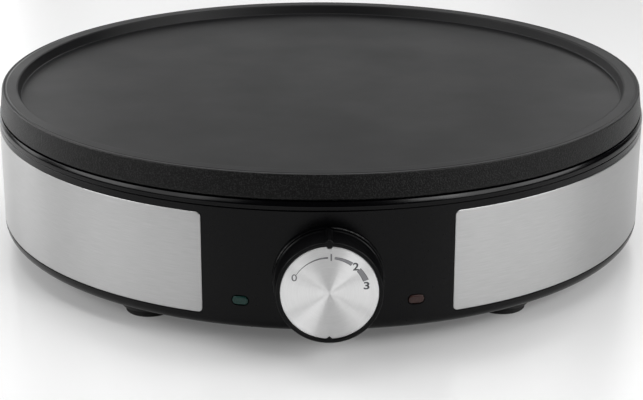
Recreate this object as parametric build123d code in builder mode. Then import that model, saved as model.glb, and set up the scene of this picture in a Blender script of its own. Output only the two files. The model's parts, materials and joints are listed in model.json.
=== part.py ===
from build123d import *
from math import cos, radians, sin, tan
import os

# Electric crepe maker: a round cast hot plate on a shallow plastic housing, with a thermostat knob
# and two pilot lamps at the front and a cord inlet at the back.
# Frame: millimetres, Z up, the table at z = 0, the plate's axis on Z, the knob towards -Y.
# Angles round the housing are in degrees from the front, positive towards +X.
# "Reach" is a distance from the plate's axis towards the front, and "back" one towards the rear.

os.makedirs("parts", exist_ok=True)

# ---------------------------------------------------------------- driving dimensions
# Heights of the stack, from the table up
foot_height = 8.2
housing_height = 56.2
bezel_height = 3.85
plate_gap = 0.3

# Hot plate casting
cook_radius = 150.0
rim_rise = 4.9
rim_lean = 1.3
rim_width = 7.7
skirt_height = 11.45
skirt_flare = 1.3
skirt_wall = 5.0
plate_floor = 4.6
casting_fillet = 0.6
small_corner = 2.0

# Bosses under the casting: tall ones for the pillars, taller ones for what hangs below the dish
pillar_boss_height = 13.0
pillar_boss_radius = 7.0
hanger_boss_height = 16.0
hanger_boss_radius = 6.0
bracket_boss_spread = 20.0
bracket_boss_inset = 24.0
earth_boss_x = 45.0
earth_boss_reach = 50.0
fuse_pad_x = -45.0
fuse_pad_reach = 55.0
fuse_pad_length = 16.0
fuse_pad_width = 26.0

# Sheathed heating element, pressed in a channel under the plate
element_boss_gap = 4.0
element_radius = 4.0
element_gap_angle = 16.0
element_bend = 9.0
element_leg_end = 48.0
channel_wall = 1.8
channel_clearance = 0.2
channel_opening = 84.0
element_bush_height = 5.0
element_pin_radius = 1.6
element_tab_height = 38.0
element_tab_length = 13.0
element_clamp_count = 6
clamp_thickness = 1.2
clamp_width = 12.0
clamp_screw_spread = 20.0
clamp_boss_radius = 4.5

# Reflector dish, pillars and washers
dish_thickness = 0.6
dish_flat_inset = 27.0
dish_inset = 11.0
dish_rise = 8.0
dish_hole_clearance = 1.2
pillar_length = 18.0
pillar_radius = 5.0
washer_thickness = 2.0
washer_radius = 7.0
tower_radius = 7.5
tower_inset = 39.0
tower_angles = (62.0, 118.0, -118.0, -62.0)

# Housing shell
housing_margin = 0.7
housing_wall = 2.6
housing_edge_radius = 5.2
floor_thickness = 2.6
top_chamfer = 0.4
opening_inset = 67.0
opening_lip = 11.0
lip_step = 2.4
pip_angles = (-12.4, 19.2, 167.6, -160.8)
pip_radius = 1.2
pip_height = 0.7
pip_inset = 6.8

# Bezel ring between the housing and the plate
bezel_overhang = 0.2
bezel_lip_radius = 1.6
bezel_width = 6.6
bezel_thickness = 2.4
spigot_depth = 2.6
spigot_wall = 2.2
spigot_clearance = 0.05

# Steel side panels
panel_start = 19.9
panel_end = 160.0
panel_height = 46.5
panel_drop = 3.5
panel_thickness = 0.5
panel_corner = 2.2
panel_gap = 0.35
panel_seat = 0.1
tab_count = 4
tab_width = 8.0
tab_hook = 3.9
tab_inset = 0.3
tab_clearance = 0.2

# Base cover and its screws
cover_clearance = 0.4
cover_thickness = 2.2
cover_screw_inset = 6.0
cover_screw_count = 6
cover_boss_height = 8.0
screw_boss_radius = 4.5
vent_count = 28
vent_length = 26.0
vent_width = 3.0
vent_circle = 66.0
inner_vent_count = 14
inner_vent_length = 14.0
inner_vent_circle = 36.0

# Feet
foot_inset = 23.0
foot_angle = 35.8
foot_top_radius = 17.0
foot_bottom_radius = 12.4
foot_rim = 1.0
pad_thickness = 4.0
pad_radius = 11.0
pad_hole_radius = 3.7
foot_boss_height = 10.0

# Knob, along the reach
knob_height = 33.4
collar_radius = 24.3
collar_rise = 1.4
collar_width = 2.8
collar_sink = 4.0
collar_floor_rise = 0.2
collar_edge_radius = 0.5
index_notch = 1.5
knob_gap = 0.5
knob_depth = 13.9
knob_skirt_radius = 23.6
knob_side_radius = 22.75
knob_bevel = 1.15
knob_wall = 1.8
knob_skirt_band = 1.4
knob_skirt_step = 0.25
disc_radius = 21.0
disc_thickness = 0.8
disc_recess = 0.6
disc_clearance = 0.1
rib_radius = 1.5
rib_circle = 22.4
key_radius = 1.0
hub_radius = 5.5
clip_thickness = 0.4
clip_width = 3.0
clip_length = 8.0
knob_end_room = 0.4

# Thermostat, along the reach
spindle_radius = 3.0
spindle_flat = 2.1
running_clearance = 0.05
spindle_hole_radius = 5.5
bracket_inset = 19.0
bracket_thickness = 3.0
bracket_half_width = 16.0
bracket_tail = 34.0
bracket_height = 29.0
frame_thickness = 1.5
frame_half_width = 15.0
neck_radius = 5.0
neck_length = 9.0
nut_thickness = 4.0
nut_radius = 7.5
spindle_collar_radius = 4.5
spindle_collar_thickness = 1.0
spindle_clip_radius = 4.6
spindle_clip_thickness = 0.8
spindle_groove_radius = 2.4
stud_radius = 2.0
stud_travel_room = 0.8
slider_start = 3.5
slider_length = 5.0
slider_size = 9.0
slider_clearance = 0.1
rail_length = 11.5
nose_length = 3.5
nose_radius = 3.4
nose_cap = 1.0
leaf_gap = 0.6
leaf_thickness = 0.5
leaf_half_width = 4.0
wafer_thickness = 3.0
wafer_half_width = 11.0
stack_height = 10.0
stack_drop = 14.9
leaf_top_rise = 13.6
contact_rise = 10.6
contact_radius = 2.0
contact_height = 1.0
push_pin_rise = 6.1
push_pin_radius = 1.1
push_pin_clearance = 0.2
push_pin_hole_radius = 1.7
bimetal_thickness = 0.9
bimetal_half_width = 5.0
rivet_radius = 2.0
rivet_head_radius = 3.4
rivet_head = 1.2

# Spade terminals and connectors
blade_width = 6.3
blade_thickness = 0.8
blade_reach = 22.5
connector_length = 12.0
connector_width = 8.0
connector_thickness = 3.2
connector_clearance = 0.1
connector_end = 1.0
blade_cover = 9.5

# Pilot lamps
lamp_angle = 13.7
lamp_height = 22.1
lens_width = 7.2
lens_height = 4.2
lens_proud = 0.3
lens_clearance = 0.35
lens_block_width = 11.0
lens_block_height = 8.0
lens_block_depth = 6.2
lens_wall_clearance = 0.15
lens_barrel_radius = 4.0
lens_barrel_length = 6.0
lens_bore_radius = 3.05
lens_front_wall = 1.6
lamp_radius = 3.0
lamp_length = 14.5
holder_thickness = 1.5
holder_length = 27.0
holder_height = 10.0
lamp_post_spread = 20.0
lamp_post_radius = 3.0

# Thermal fuse
fuse_radius = 2.0
fuse_length = 12.0
sleeve_wall = 0.6
sleeve_length = 20.0
strap_thickness = 0.8
strap_width = 6.0
strap_screw_spread = 18.0
strap_length = 25.0

# Earth tag
tag_ring_radius = 5.0
tag_tail_width = 5.0
tag_length = 12.0
tag_wall = 0.35
tag_barrel_length = 8.0

# Cord inlet at the back
inlet_height = 26.0
cord_radius = 3.5
gland_bore_clearance = 0.1
gland_neck_radius = 6.5
gland_flange_radius = 9.5
gland_flange_thickness = 2.6
gland_tip_radius = 6.2
gland_root_radius = 7.6
gland_inside = 13.0
gland_outside = 14.8
gland_shoulder = 0.8
inlet_boss_radius = 12.0
inlet_boss_rise = 1.0
inlet_boss_depth = 7.0
gland_nut_thickness = 3.6
gland_nut_radius = 11.0
cord_clamp_inset = 18.0
cord_clamp_width = 8.0
cord_clamp_length = 28.0
cord_clamp_wall = 2.6
cord_post_spread = 20.0
cord_post_radius = 4.0
cord_post_drop = 2.0
cord_bed_width = 8.0

# Terminal block
block_inset = 43.0
block_depth = 18.0
block_length = 34.0
block_height = 14.0
block_pad_height = 6.0
ear_head_gap = 0.9
ear_end_margin = 3.5
block_ear_depth = 12.0
pole_pitch = 10.0
insert_width = 6.0
insert_height = 6.4
insert_length = 15.0
insert_clearance = 0.1
wire_hole_radius = 1.8
wire_screw_radius = 1.5
wire_screw_length = 4.4
wire_screw_spread = 8.4
well_radius = 2.2
wire_slot_depth = 1.0
wire_slot_width = 0.6

# Screws: small self-tapping ones, machine screws into the casting, and the long plate screws
post_screw_radius = 1.2
post_screw_length = 5.5
post_head_radius = 2.6
post_head_height = 1.8
ear_thickness = 2.5
cover_screw_radius = 1.45
cover_screw_length = 9.6
cover_head_radius = 2.9
cover_head_height = 1.6
foot_screw_length = 13.0
foot_head_radius = 3.2
foot_head_height = 2.2
casting_screw_radius = 1.95
casting_screw_length = 7.0
casting_head_radius = 3.4
casting_head_height = 2.2
plate_screw_radius = 1.95
plate_head_radius = 3.6
plate_head_height = 2.8
plate_screw_sink = 6.0
thread_clearance = 0.05
screw_clearance = 0.3
hole_end_room = 1.0

# Leads
lead_radius = 1.5
lamp_lead_radius = 0.8
lamp_lead_spread = 2.6
lamp_lead_start = 4.0
lamp_lead_rise = 2.8
lamp_lead_side = 2.4
lead_hole_clearance = 0.05

# ---------------------------------------------------------------- derived sizes and places
housing_bottom = foot_height
floor_top = housing_bottom + floor_thickness
groove_height = housing_bottom + housing_height
bezel_top = groove_height + bezel_height
skirt_bottom = bezel_top + plate_gap
rim_top = skirt_bottom + skirt_height
cook_height = rim_top - rim_rise
plate_underside = cook_height - plate_floor
rim_inner_radius = cook_radius + rim_lean
rim_outer_radius = rim_inner_radius + rim_width
skirt_radius = rim_outer_radius + skirt_flare
housing_radius = skirt_radius + housing_margin
opening_radius = housing_radius - opening_inset
tower_circle = housing_radius - tower_inset
foot_circle = housing_radius - foot_inset
pip_circle = housing_radius - pip_inset
bracket_reach = housing_radius - bracket_inset
bracket_boss_reach = bracket_reach - bracket_boss_inset
block_back = housing_radius - block_inset
cord_clamp_back = housing_radius - cord_clamp_inset
inlet_boss_face = housing_radius + inlet_boss_rise

pillar_boss_end = plate_underside - pillar_boss_height
hanger_boss_end = plate_underside - hanger_boss_height
dish_bottom = pillar_boss_end - dish_thickness
pillar_bottom = dish_bottom - pillar_length
tower_top = pillar_bottom - washer_thickness

dish_flat_radius = housing_radius - dish_flat_inset
dish_radius = housing_radius - dish_inset

channel_outer = tower_circle - pillar_boss_radius - element_boss_gap - channel_wall
element_ring_radius = channel_outer - channel_clearance - element_radius
channel_inner = element_ring_radius - element_radius - channel_clearance
element_height = plate_underside - element_radius - channel_clearance
clamp_top = element_height - element_radius

housing_inner_radius = housing_radius - housing_wall
lip_bottom = housing_bottom + lip_step
lip_top = lip_bottom + floor_thickness
lip_radius = opening_radius + opening_lip
cover_radius = lip_radius - cover_clearance
cover_screw_circle = lip_radius - cover_screw_inset
cover_bottom = lip_bottom - cover_thickness

panel_top = groove_height - panel_drop
panel_bottom = panel_top - panel_height
panel_inner_radius = housing_radius - panel_thickness
recess_radius = panel_inner_radius - panel_seat

collar_face = housing_radius + collar_rise
collar_floor = housing_radius + collar_floor_rise
knob_rear = collar_face + knob_gap
knob_front = knob_rear + knob_depth
disc_front = knob_front - disc_recess
disc_seat = disc_front - disc_thickness
web_rear = disc_seat - knob_wall
spindle_front = web_rear - knob_end_room
hub_rear = knob_rear + knob_gap

frame_front = bracket_reach - bracket_thickness
frame_rear = frame_front - frame_thickness
neck_front = frame_front + neck_length
spindle_collar_front = frame_rear - 2 * slider_clearance
spindle_collar_rear = spindle_collar_front - spindle_collar_thickness
slider_front = frame_rear - slider_start
slider_rear = slider_front - slider_length
nose_end = slider_rear - nose_length
stud_end = nose_end + nose_cap + stud_travel_room
leaf_front = nose_end - leaf_gap
leaf_rear = leaf_front - leaf_thickness
fixed_front = leaf_rear - wafer_thickness
fixed_rear = fixed_front - leaf_thickness
bimetal_front = fixed_rear - wafer_thickness
bimetal_rear = bimetal_front - bimetal_thickness
stack_middle = knob_height - stack_drop
stack_bottom = stack_middle - stack_height / 2
leaf_top = knob_height + leaf_top_rise
contact_level = knob_height + contact_rise
push_pin_level = knob_height + push_pin_rise

gland_bore_radius = cord_radius + gland_bore_clearance
gland_tip = inlet_boss_face + gland_outside
inlet_boss_inner = inlet_boss_face - inlet_boss_depth
cord_post_top = inlet_height - cord_post_drop

block_ear_spread = block_length + 2 * (post_head_radius + ear_head_gap)
block_ear_length = block_ear_spread + 2 * ear_end_margin
block_bottom = floor_top + block_pad_height
wire_level = block_bottom + block_height / 2

# The knob's section is drawn with x as the radius and y as the reach
knob_plane = Plane(origin=(0, 0, knob_height), x_dir=(1, 0, 0), z_dir=(0, 0, -1))
knob_axis = Axis((0, 0, knob_height), (0, 1, 0))
# The cord inlet's section has y as the distance back
inlet_plane = Plane.XY.offset(inlet_height)
inlet_axis = Axis((0, 0, inlet_height), (0, 1, 0))


# ---------------------------------------------------------------- helpers
def polar(radius, angle, z=0.0):
    """Point at a radius from the plate's axis and an angle from the front."""
    turn = radians(angle - 90)
    return (radius * cos(turn), radius * sin(turn), z)


def half_section(points, radii=0.0, plane=Plane.XZ):
    """Closed section beside an axis, with one corner radius for each point or one for all."""
    with BuildSketch(plane) as section:
        with BuildLine():
            FilletPolyline(*points, radius=radii, close=True)
        make_face()
    return section.sketch


def radial_plane(radius, angle, z):
    """Plane facing outwards: x runs round the housing, y up, at a radius and an angle."""
    turn = radians(angle - 90)
    return Plane(
        origin=polar(radius, angle, z),
        x_dir=(-sin(turn), cos(turn), 0),
        z_dir=(cos(turn), sin(turn), 0),
    )


def screw(head_radius, head_height, shank_radius, shank_length):
    """Cross-head screw: its shank runs up from the origin and its head hangs below."""
    slot_length = head_radius * 1.2
    slot_width = head_radius * 0.22
    slot_depth = head_height * 0.5
    with BuildPart() as made:
        with BuildSketch(Plane.XY.offset(-head_height)):
            Circle(head_radius)
        extrude(amount=head_height)
        top_edges = made.edges().filter_by(GeomType.CIRCLE).group_by(Axis.Z)[0]
        fillet(top_edges, head_height * 0.3)
        with BuildSketch():
            Circle(shank_radius)
        extrude(amount=shank_length)
        with BuildSketch(Plane.XY.offset(-head_height)):
            Rectangle(slot_length, slot_width)
            Rectangle(slot_width, slot_length)
        extrude(amount=slot_depth, mode=Mode.SUBTRACT)
    return made.part


def panel_block(inner, outer, low, high, start, end, corner):
    """Piece of a ring between two angles from the front, with rounded corners."""
    with BuildPart() as made:
        with BuildSketch(Plane.XZ):
            with Locations(((inner + outer) / 2, (low + high) / 2)):
                Rectangle(outer - inner, high - low)
        revolve(axis=Axis.Z, revolution_arc=end - start)
        corners = made.edges().filter_by(GeomType.LINE)
        corners = corners.filter_by(lambda edge: edge.length < (outer - inner) * 1.5)
        fillet(corners, corner)
    return made.part.rotate(Axis.Z, start - 90)


def corner_radii(points):
    """Largest tangent arcs that 0.45 of the shorter run at each corner allows."""
    radii = []
    for before, corner, after in zip(points, points[1:], points[2:]):
        run_in = Vector(*corner) - Vector(*before)
        run_out = Vector(*after) - Vector(*corner)
        shorter = min(run_in.length, run_out.length)
        radii.append(0.45 * shorter / tan(radians(run_in.get_angle(run_out) / 2)))
    return radii


def lead(points, radius):
    """Round insulated lead on straight runs joined by tangent arcs."""
    with BuildPart() as made:
        with BuildLine() as route:
            FilletPolyline(*points, radius=corner_radii(points))
        path = route.wire()
        with BuildSketch(Plane(origin=path @ 0, z_dir=path % 0)):
            Circle(radius)
        sweep(path=path)
    return made.part


def connector(blade):
    """Push-on connector along +X for a blade of a given thickness, its mouth at the origin."""
    from_mouth = (Align.MIN, Align.CENTER, Align.CENTER)
    with BuildPart() as made:
        Box(connector_length, connector_thickness, connector_width, align=from_mouth)
        Box(
            connector_length - connector_end,
            blade + 2 * connector_clearance,
            blade_width + 2 * connector_clearance,
            align=from_mouth,
            mode=Mode.SUBTRACT,
        )
    return made.part


# ---------------------------------------------------------------- hot plate group
tower_points = [polar(tower_circle, angle) for angle in tower_angles]
bracket_boss_points = [(side * bracket_boss_spread / 2, -bracket_boss_reach) for side in (-1, 1)]
earth_boss_point = (earth_boss_x, -earth_boss_reach)
fuse_screw_points = [(fuse_pad_x, -fuse_pad_reach + side * strap_screw_spread / 2) for side in (-1, 1)]
clamp_angles = [
    element_gap_angle + (k + 0.5) * (360 - 2 * element_gap_angle) / element_clamp_count
    for k in range(element_clamp_count)
]
clamp_screw_points = [
    polar(element_ring_radius + side * clamp_screw_spread / 2, angle)
    for angle in clamp_angles
    for side in (-1, 1)
]

with BuildPart() as hot_plate:
    revolve(
        half_section(
            [
                (0, plate_underside),
                (skirt_radius - skirt_wall, plate_underside),
                (skirt_radius - skirt_wall, skirt_bottom),
                (skirt_radius, skirt_bottom),
                (rim_outer_radius, rim_top),
                (rim_inner_radius, rim_top),
                (cook_radius, cook_height),
                (0, cook_height),
            ],
            [0, 0, 0, casting_fillet * 2, casting_fillet, casting_fillet * 1.5, casting_fillet, 0],
        ),
        axis=Axis.Z,
    )
    # The channel's two ribs stop at the gap where the element turns down
    for rib_inner in (channel_inner - channel_wall, channel_outer):
        with BuildSketch(Plane.XY.offset(element_height)):
            Circle(rib_inner + channel_wall)
            Circle(rib_inner, mode=Mode.SUBTRACT)
            with Locations((0, -element_ring_radius)):
                Rectangle(channel_opening, channel_opening, mode=Mode.SUBTRACT)
        extrude(until=Until.NEXT)
    with BuildSketch(Plane.XY.offset(pillar_boss_end)):
        with Locations(*tower_points):
            Circle(pillar_boss_radius)
    extrude(until=Until.NEXT)
    with BuildSketch(Plane.XY.offset(hanger_boss_end)):
        with Locations(*bracket_boss_points, earth_boss_point):
            Circle(hanger_boss_radius)
        with Locations((fuse_pad_x, -fuse_pad_reach)):
            RectangleRounded(fuse_pad_length, fuse_pad_width, small_corner)
    extrude(until=Until.NEXT)
    with BuildSketch(Plane.XY.offset(clamp_top)):
        with Locations(*clamp_screw_points):
            Circle(clamp_boss_radius)
    extrude(until=Until.NEXT)
    # Threaded holes, left blind under the cooking surface
    for hole_points, mouth in (
        (tower_points, pillar_boss_end),
        (bracket_boss_points + [earth_boss_point] + fuse_screw_points, hanger_boss_end),
        (clamp_screw_points, clamp_top),
    ):
        with BuildSketch(Plane.XY.offset(mouth)):
            with Locations(*hole_points):
                Circle(casting_screw_radius + thread_clearance)
        extrude(amount=casting_screw_length + hole_end_room, mode=Mode.SUBTRACT)
hot_plate.part.label = "hot_plate"
export_step(hot_plate.part, "parts/hot_plate.step")

# Sheathed element: two legs turn up into one ring that leaves a gap at the front
ring_end = Vector(*polar(element_ring_radius, element_gap_angle, element_height))
ring_way = Vector(*polar(1.0, element_gap_angle + 90))
ring_back = (0, element_ring_radius, element_height)
leg_top = ring_end - ring_way * element_bend - Vector(0, 0, element_bend)
leg_x = leg_top.X
leg_reach = -leg_top.Y
with BuildPart() as heating_element:
    with BuildLine() as element_path:
        Line((leg_x, -leg_reach, element_leg_end), leg_top)
        TangentArc(leg_top, ring_end, tangent=(0, 0, 1))
        ThreePointArc(ring_end, ring_back, (-ring_end.X, ring_end.Y, element_height))
        TangentArc(
            (-ring_end.X, ring_end.Y, element_height),
            (-leg_x, -leg_reach, leg_top.Z),
            tangent=(ring_way.X, -ring_way.Y, 0),
        )
        Line((-leg_x, -leg_reach, leg_top.Z), (-leg_x, -leg_reach, element_leg_end))
    with BuildSketch(Plane((leg_x, -leg_reach, element_leg_end))):
        Circle(element_radius)
    sweep(path=element_path.wire())
heating_element.part.label = "heating_element"
export_step(heating_element.part, "parts/heating_element.step")

leg_points = [(side * leg_x, -leg_reach) for side in (-1, 1)]

with BuildPart() as element_bushes:
    with BuildSketch(Plane.XY.offset(element_leg_end - element_bush_height)):
        with Locations(*leg_points):
            Circle(element_radius + channel_clearance)
            Circle(element_pin_radius + thread_clearance, mode=Mode.SUBTRACT)
    extrude(amount=element_bush_height)
element_bushes.part.label = "element_bushes"
export_step(element_bushes.part, "parts/element_bushes.step")

with BuildPart() as element_terminals:
    with BuildSketch(Plane.XY.offset(element_tab_height)):
        with Locations(*leg_points):
            Circle(element_pin_radius)
    extrude(amount=element_leg_end - element_tab_height)
    with BuildSketch(Plane.XY.offset(element_tab_height - blade_thickness / 2)):
        for x, y in leg_points:
            with Locations((x, y - blade_width / 2)):
                Rectangle(blade_width, element_tab_length + blade_width / 2, align=(Align.CENTER, Align.MIN))
    extrude(amount=blade_thickness)
element_terminals.part.label = "element_terminals"
export_step(element_terminals.part, "parts/element_terminals.step")

with BuildPart() as element_clamps:
    with BuildSketch(Plane.XY.offset(clamp_top - clamp_thickness)):
        for angle in clamp_angles:
            with Locations(Location(polar(element_ring_radius, angle), (0, 0, angle - 90))):
                RectangleRounded(clamp_screw_spread + 2 * clamp_boss_radius, clamp_width, small_corner)
        with Locations(*clamp_screw_points):
            Circle(casting_screw_radius + screw_clearance, mode=Mode.SUBTRACT)
    extrude(amount=clamp_thickness)
element_clamps.part.label = "element_clamps"
export_step(element_clamps.part, "parts/element_clamps.step")

with BuildPart() as reflector_dish:
    revolve(
        half_section(
            [
                (0, dish_bottom),
                (dish_flat_radius, dish_bottom),
                (dish_radius, dish_bottom + dish_rise),
                (dish_radius, dish_bottom + dish_rise + dish_thickness),
                (dish_flat_radius, dish_bottom + dish_thickness),
                (0, dish_bottom + dish_thickness),
            ]
        ),
        axis=Axis.Z,
    )
    with BuildSketch(Plane.XY.offset(dish_bottom)):
        with Locations(*tower_points):
            Circle(plate_screw_radius + screw_clearance)
        with Locations(*bracket_boss_points, earth_boss_point):
            Circle(hanger_boss_radius + dish_hole_clearance)
        with Locations(*leg_points):
            Circle(element_radius + dish_hole_clearance)
        with Locations((fuse_pad_x, -fuse_pad_reach)):
            RectangleRounded(
                fuse_pad_length + 2 * dish_hole_clearance,
                fuse_pad_width + 2 * dish_hole_clearance,
                small_corner,
            )
    extrude(amount=dish_thickness, mode=Mode.SUBTRACT)
reflector_dish.part.label = "reflector_dish"
export_step(reflector_dish.part, "parts/reflector_dish.step")

with BuildPart() as plate_pillars:
    with BuildSketch(Plane.XY.offset(pillar_bottom)):
        with Locations(*tower_points):
            Circle(pillar_radius)
            Circle(plate_screw_radius + screw_clearance, mode=Mode.SUBTRACT)
    extrude(amount=pillar_length)
plate_pillars.part.label = "plate_pillars"
export_step(plate_pillars.part, "parts/plate_pillars.step")

with BuildPart() as pillar_washers:
    with BuildSketch(Plane.XY.offset(tower_top)):
        with Locations(*tower_points):
            Circle(washer_radius)
            Circle(plate_screw_radius + screw_clearance, mode=Mode.SUBTRACT)
    extrude(amount=washer_thickness)
pillar_washers.part.label = "pillar_washers"
export_step(pillar_washers.part, "parts/pillar_washers.step")

# Long screws from below: through the towers and pillars into the casting
plate_screw_seat = floor_top + plate_screw_sink
plate_screw_length = pillar_boss_end + casting_screw_length - plate_screw_seat
plate_screw = screw(plate_head_radius, plate_head_height, plate_screw_radius, plate_screw_length)
with BuildPart() as plate_screws:
    with Locations(*[(x, y, plate_screw_seat) for x, y, z in tower_points]):
        add(plate_screw)
plate_screws.part.label = "plate_screws"
export_step(plate_screws.part, "parts/plate_screws.step")

# One size of machine screw holds the clamps, the bracket, the earth tag and the fuse strap
casting_screw = screw(casting_head_radius, casting_head_height, casting_screw_radius, casting_screw_length)
with BuildPart() as casting_screws:
    with Locations(*[(x, y, clamp_top - clamp_thickness) for x, y, z in clamp_screw_points]):
        add(casting_screw)
    with Locations(*[(x, y, hanger_boss_end - bracket_thickness) for x, y in bracket_boss_points]):
        add(casting_screw)
    with Locations((*earth_boss_point, hanger_boss_end - blade_thickness)):
        add(casting_screw)
    with Locations(*[(x, y, hanger_boss_end - strap_thickness) for x, y in fuse_screw_points]):
        add(casting_screw)
casting_screws.part.label = "casting_screws"
export_step(casting_screws.part, "parts/casting_screws.step")


# ---------------------------------------------------------------- housing group
foot_points = [
    polar(foot_circle, angle) for angle in (foot_angle, 180 - foot_angle, foot_angle - 180, -foot_angle)
]
cover_screw_points = [
    polar(cover_screw_circle, k * 360 / cover_screw_count) for k in range(cover_screw_count)
]
block_ear_points = [(side * block_ear_spread / 2, block_back) for side in (-1, 1)]
cord_post_points = [(side * cord_post_spread / 2, cord_clamp_back) for side in (-1, 1)]
lamp_sides = (-1, 1)
lens_shoulder = housing_inner_radius - lens_wall_clearance
lens_rear = lens_shoulder - lens_block_depth
holder_rear = lens_rear - holder_thickness
tab_angles = [panel_start + (k + 0.5) * (panel_end - panel_start) / tab_count for k in range(tab_count)]
hook_outer_radius = housing_inner_radius - tab_inset
collar_back = housing_radius - collar_sink

with BuildPart() as housing:
    revolve(
        half_section(
            [
                (opening_radius, lip_bottom),
                (lip_radius, lip_bottom),
                (lip_radius, housing_bottom),
                (housing_radius, housing_bottom),
                (housing_radius, groove_height - top_chamfer),
                (housing_radius - top_chamfer, groove_height),
                (housing_inner_radius, groove_height),
                (housing_inner_radius, floor_top),
                (lip_radius + housing_wall, floor_top),
                (lip_radius + housing_wall, lip_top),
                (opening_radius, lip_top),
            ],
            [0, 0, 0, housing_edge_radius, 0, 0, 0, housing_edge_radius - housing_wall, 0, 0, 0],
        ),
        axis=Axis.Z,
    )
    # Towers for the plate screws, bosses for the small screws, pads for what stands on the floor
    with BuildSketch(Plane.XY.offset(housing_bottom)):
        with Locations(*tower_points):
            Circle(tower_radius)
    extrude(amount=tower_top - housing_bottom)
    with BuildSketch(Plane.XY.offset(housing_bottom)):
        with Locations(*foot_points):
            Circle(screw_boss_radius)
    extrude(amount=floor_thickness + foot_boss_height)
    with BuildSketch(Plane.XY.offset(lip_bottom)):
        with Locations(*cover_screw_points):
            Circle(screw_boss_radius)
    extrude(amount=floor_thickness + cover_boss_height)
    with BuildSketch(Plane.XY.offset(housing_bottom)):
        with Locations((0, block_back)):
            RectangleRounded(block_ear_length, insert_length, small_corner)
    extrude(amount=block_bottom - housing_bottom)
    with BuildSketch(Plane.XY.offset(housing_bottom)):
        with Locations(*cord_post_points):
            Circle(cord_post_radius)
    extrude(amount=cord_post_top - housing_bottom)
    with BuildSketch(Plane.XY.offset(housing_bottom)):
        with Locations((0, cord_clamp_back)):
            Rectangle(cord_bed_width, cord_clamp_width)
    extrude(amount=inlet_height - cord_radius - housing_bottom)
    # Round pads through the wall: the knob's dished collar in front and the cord inlet behind
    revolve(
        half_section(
            [
                (0, collar_back),
                (collar_radius, collar_back),
                (collar_radius, collar_face),
                (collar_radius - collar_width, collar_face),
                (collar_radius - collar_width, collar_floor),
                (0, collar_floor),
            ],
            [0, 0, collar_edge_radius, collar_edge_radius, 0, 0],
            plane=knob_plane,
        ),
        axis=knob_axis,
    )
    with BuildSketch(Plane.XZ.offset(-inlet_boss_inner)):
        with Locations((0, inlet_height)):
            Circle(inlet_boss_radius)
    extrude(amount=-inlet_boss_depth)
    for side in lamp_sides:
        with BuildSketch(radial_plane(lens_rear, side * lamp_angle, lamp_height)):
            with GridLocations(lamp_post_spread, 0, 2, 1):
                Circle(lamp_post_radius)
        extrude(amount=housing_radius - housing_wall / 2 - lens_rear)
    with BuildSketch(Plane.XY.offset(housing_bottom - pip_height)):
        with Locations(*[polar(pip_circle, angle) for angle in pip_angles]):
            Circle(pip_radius)
    extrude(amount=pip_height + floor_thickness / 2)

    # Recesses for the panels, with a slot for each of their tabs
    for side in (-1, 1):
        recess_turn = panel_gap / radians(housing_radius)
        recess = panel_block(
            recess_radius,
            housing_radius + collar_rise,
            panel_bottom - panel_gap,
            panel_top + panel_gap,
            panel_start - recess_turn,
            panel_end + recess_turn,
            panel_corner + panel_gap,
        )
        if side < 0:
            recess = mirror(recess, about=Plane.YZ, mode=Mode.PRIVATE)
        add(recess, mode=Mode.SUBTRACT)
    for level in (panel_top - panel_thickness, panel_bottom):
        with BuildSketch(Plane.XY.offset(level - tab_clearance)):
            for side in (-1, 1):
                for angle in tab_angles:
                    with Locations(Location(polar(housing_radius, side * angle), (0, 0, side * angle - 90))):
                        Rectangle(
                            2 * (housing_wall + tab_clearance), tab_width + 2 * tab_clearance
                        )
        extrude(amount=panel_thickness + 2 * tab_clearance, mode=Mode.SUBTRACT)

    # Front: the collar's index notch, the spindle hole and the lens windows
    with BuildSketch(Plane.XZ.offset(collar_floor)):
        with Locations((0, knob_height + collar_radius)):
            Rectangle(index_notch, index_notch, rotation=45)
    extrude(amount=collar_rise, mode=Mode.SUBTRACT)
    with BuildSketch(Plane.XZ.offset(collar_back - housing_wall)):
        with Locations((0, knob_height)):
            Circle(spindle_hole_radius)
    extrude(amount=collar_face - collar_back + 2 * housing_wall, mode=Mode.SUBTRACT)
    for side in lamp_sides:
        with BuildSketch(radial_plane(lens_shoulder - housing_wall, side * lamp_angle, lamp_height)):
            SlotOverall(lens_width + 2 * lens_clearance, lens_height + 2 * lens_clearance)
        extrude(amount=3 * housing_wall, mode=Mode.SUBTRACT)
        with BuildSketch(radial_plane(lens_rear, side * lamp_angle, lamp_height)):
            with GridLocations(lamp_post_spread, 0, 2, 1):
                Circle(post_screw_radius + thread_clearance)
        extrude(amount=post_screw_length - holder_thickness + hole_end_room, mode=Mode.SUBTRACT)
    with BuildSketch(Plane.XZ.offset(-inlet_boss_inner)):
        with Locations((0, inlet_height)):
            Circle(gland_neck_radius + gland_bore_clearance)
    extrude(amount=-inlet_boss_depth, mode=Mode.SUBTRACT)

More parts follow.
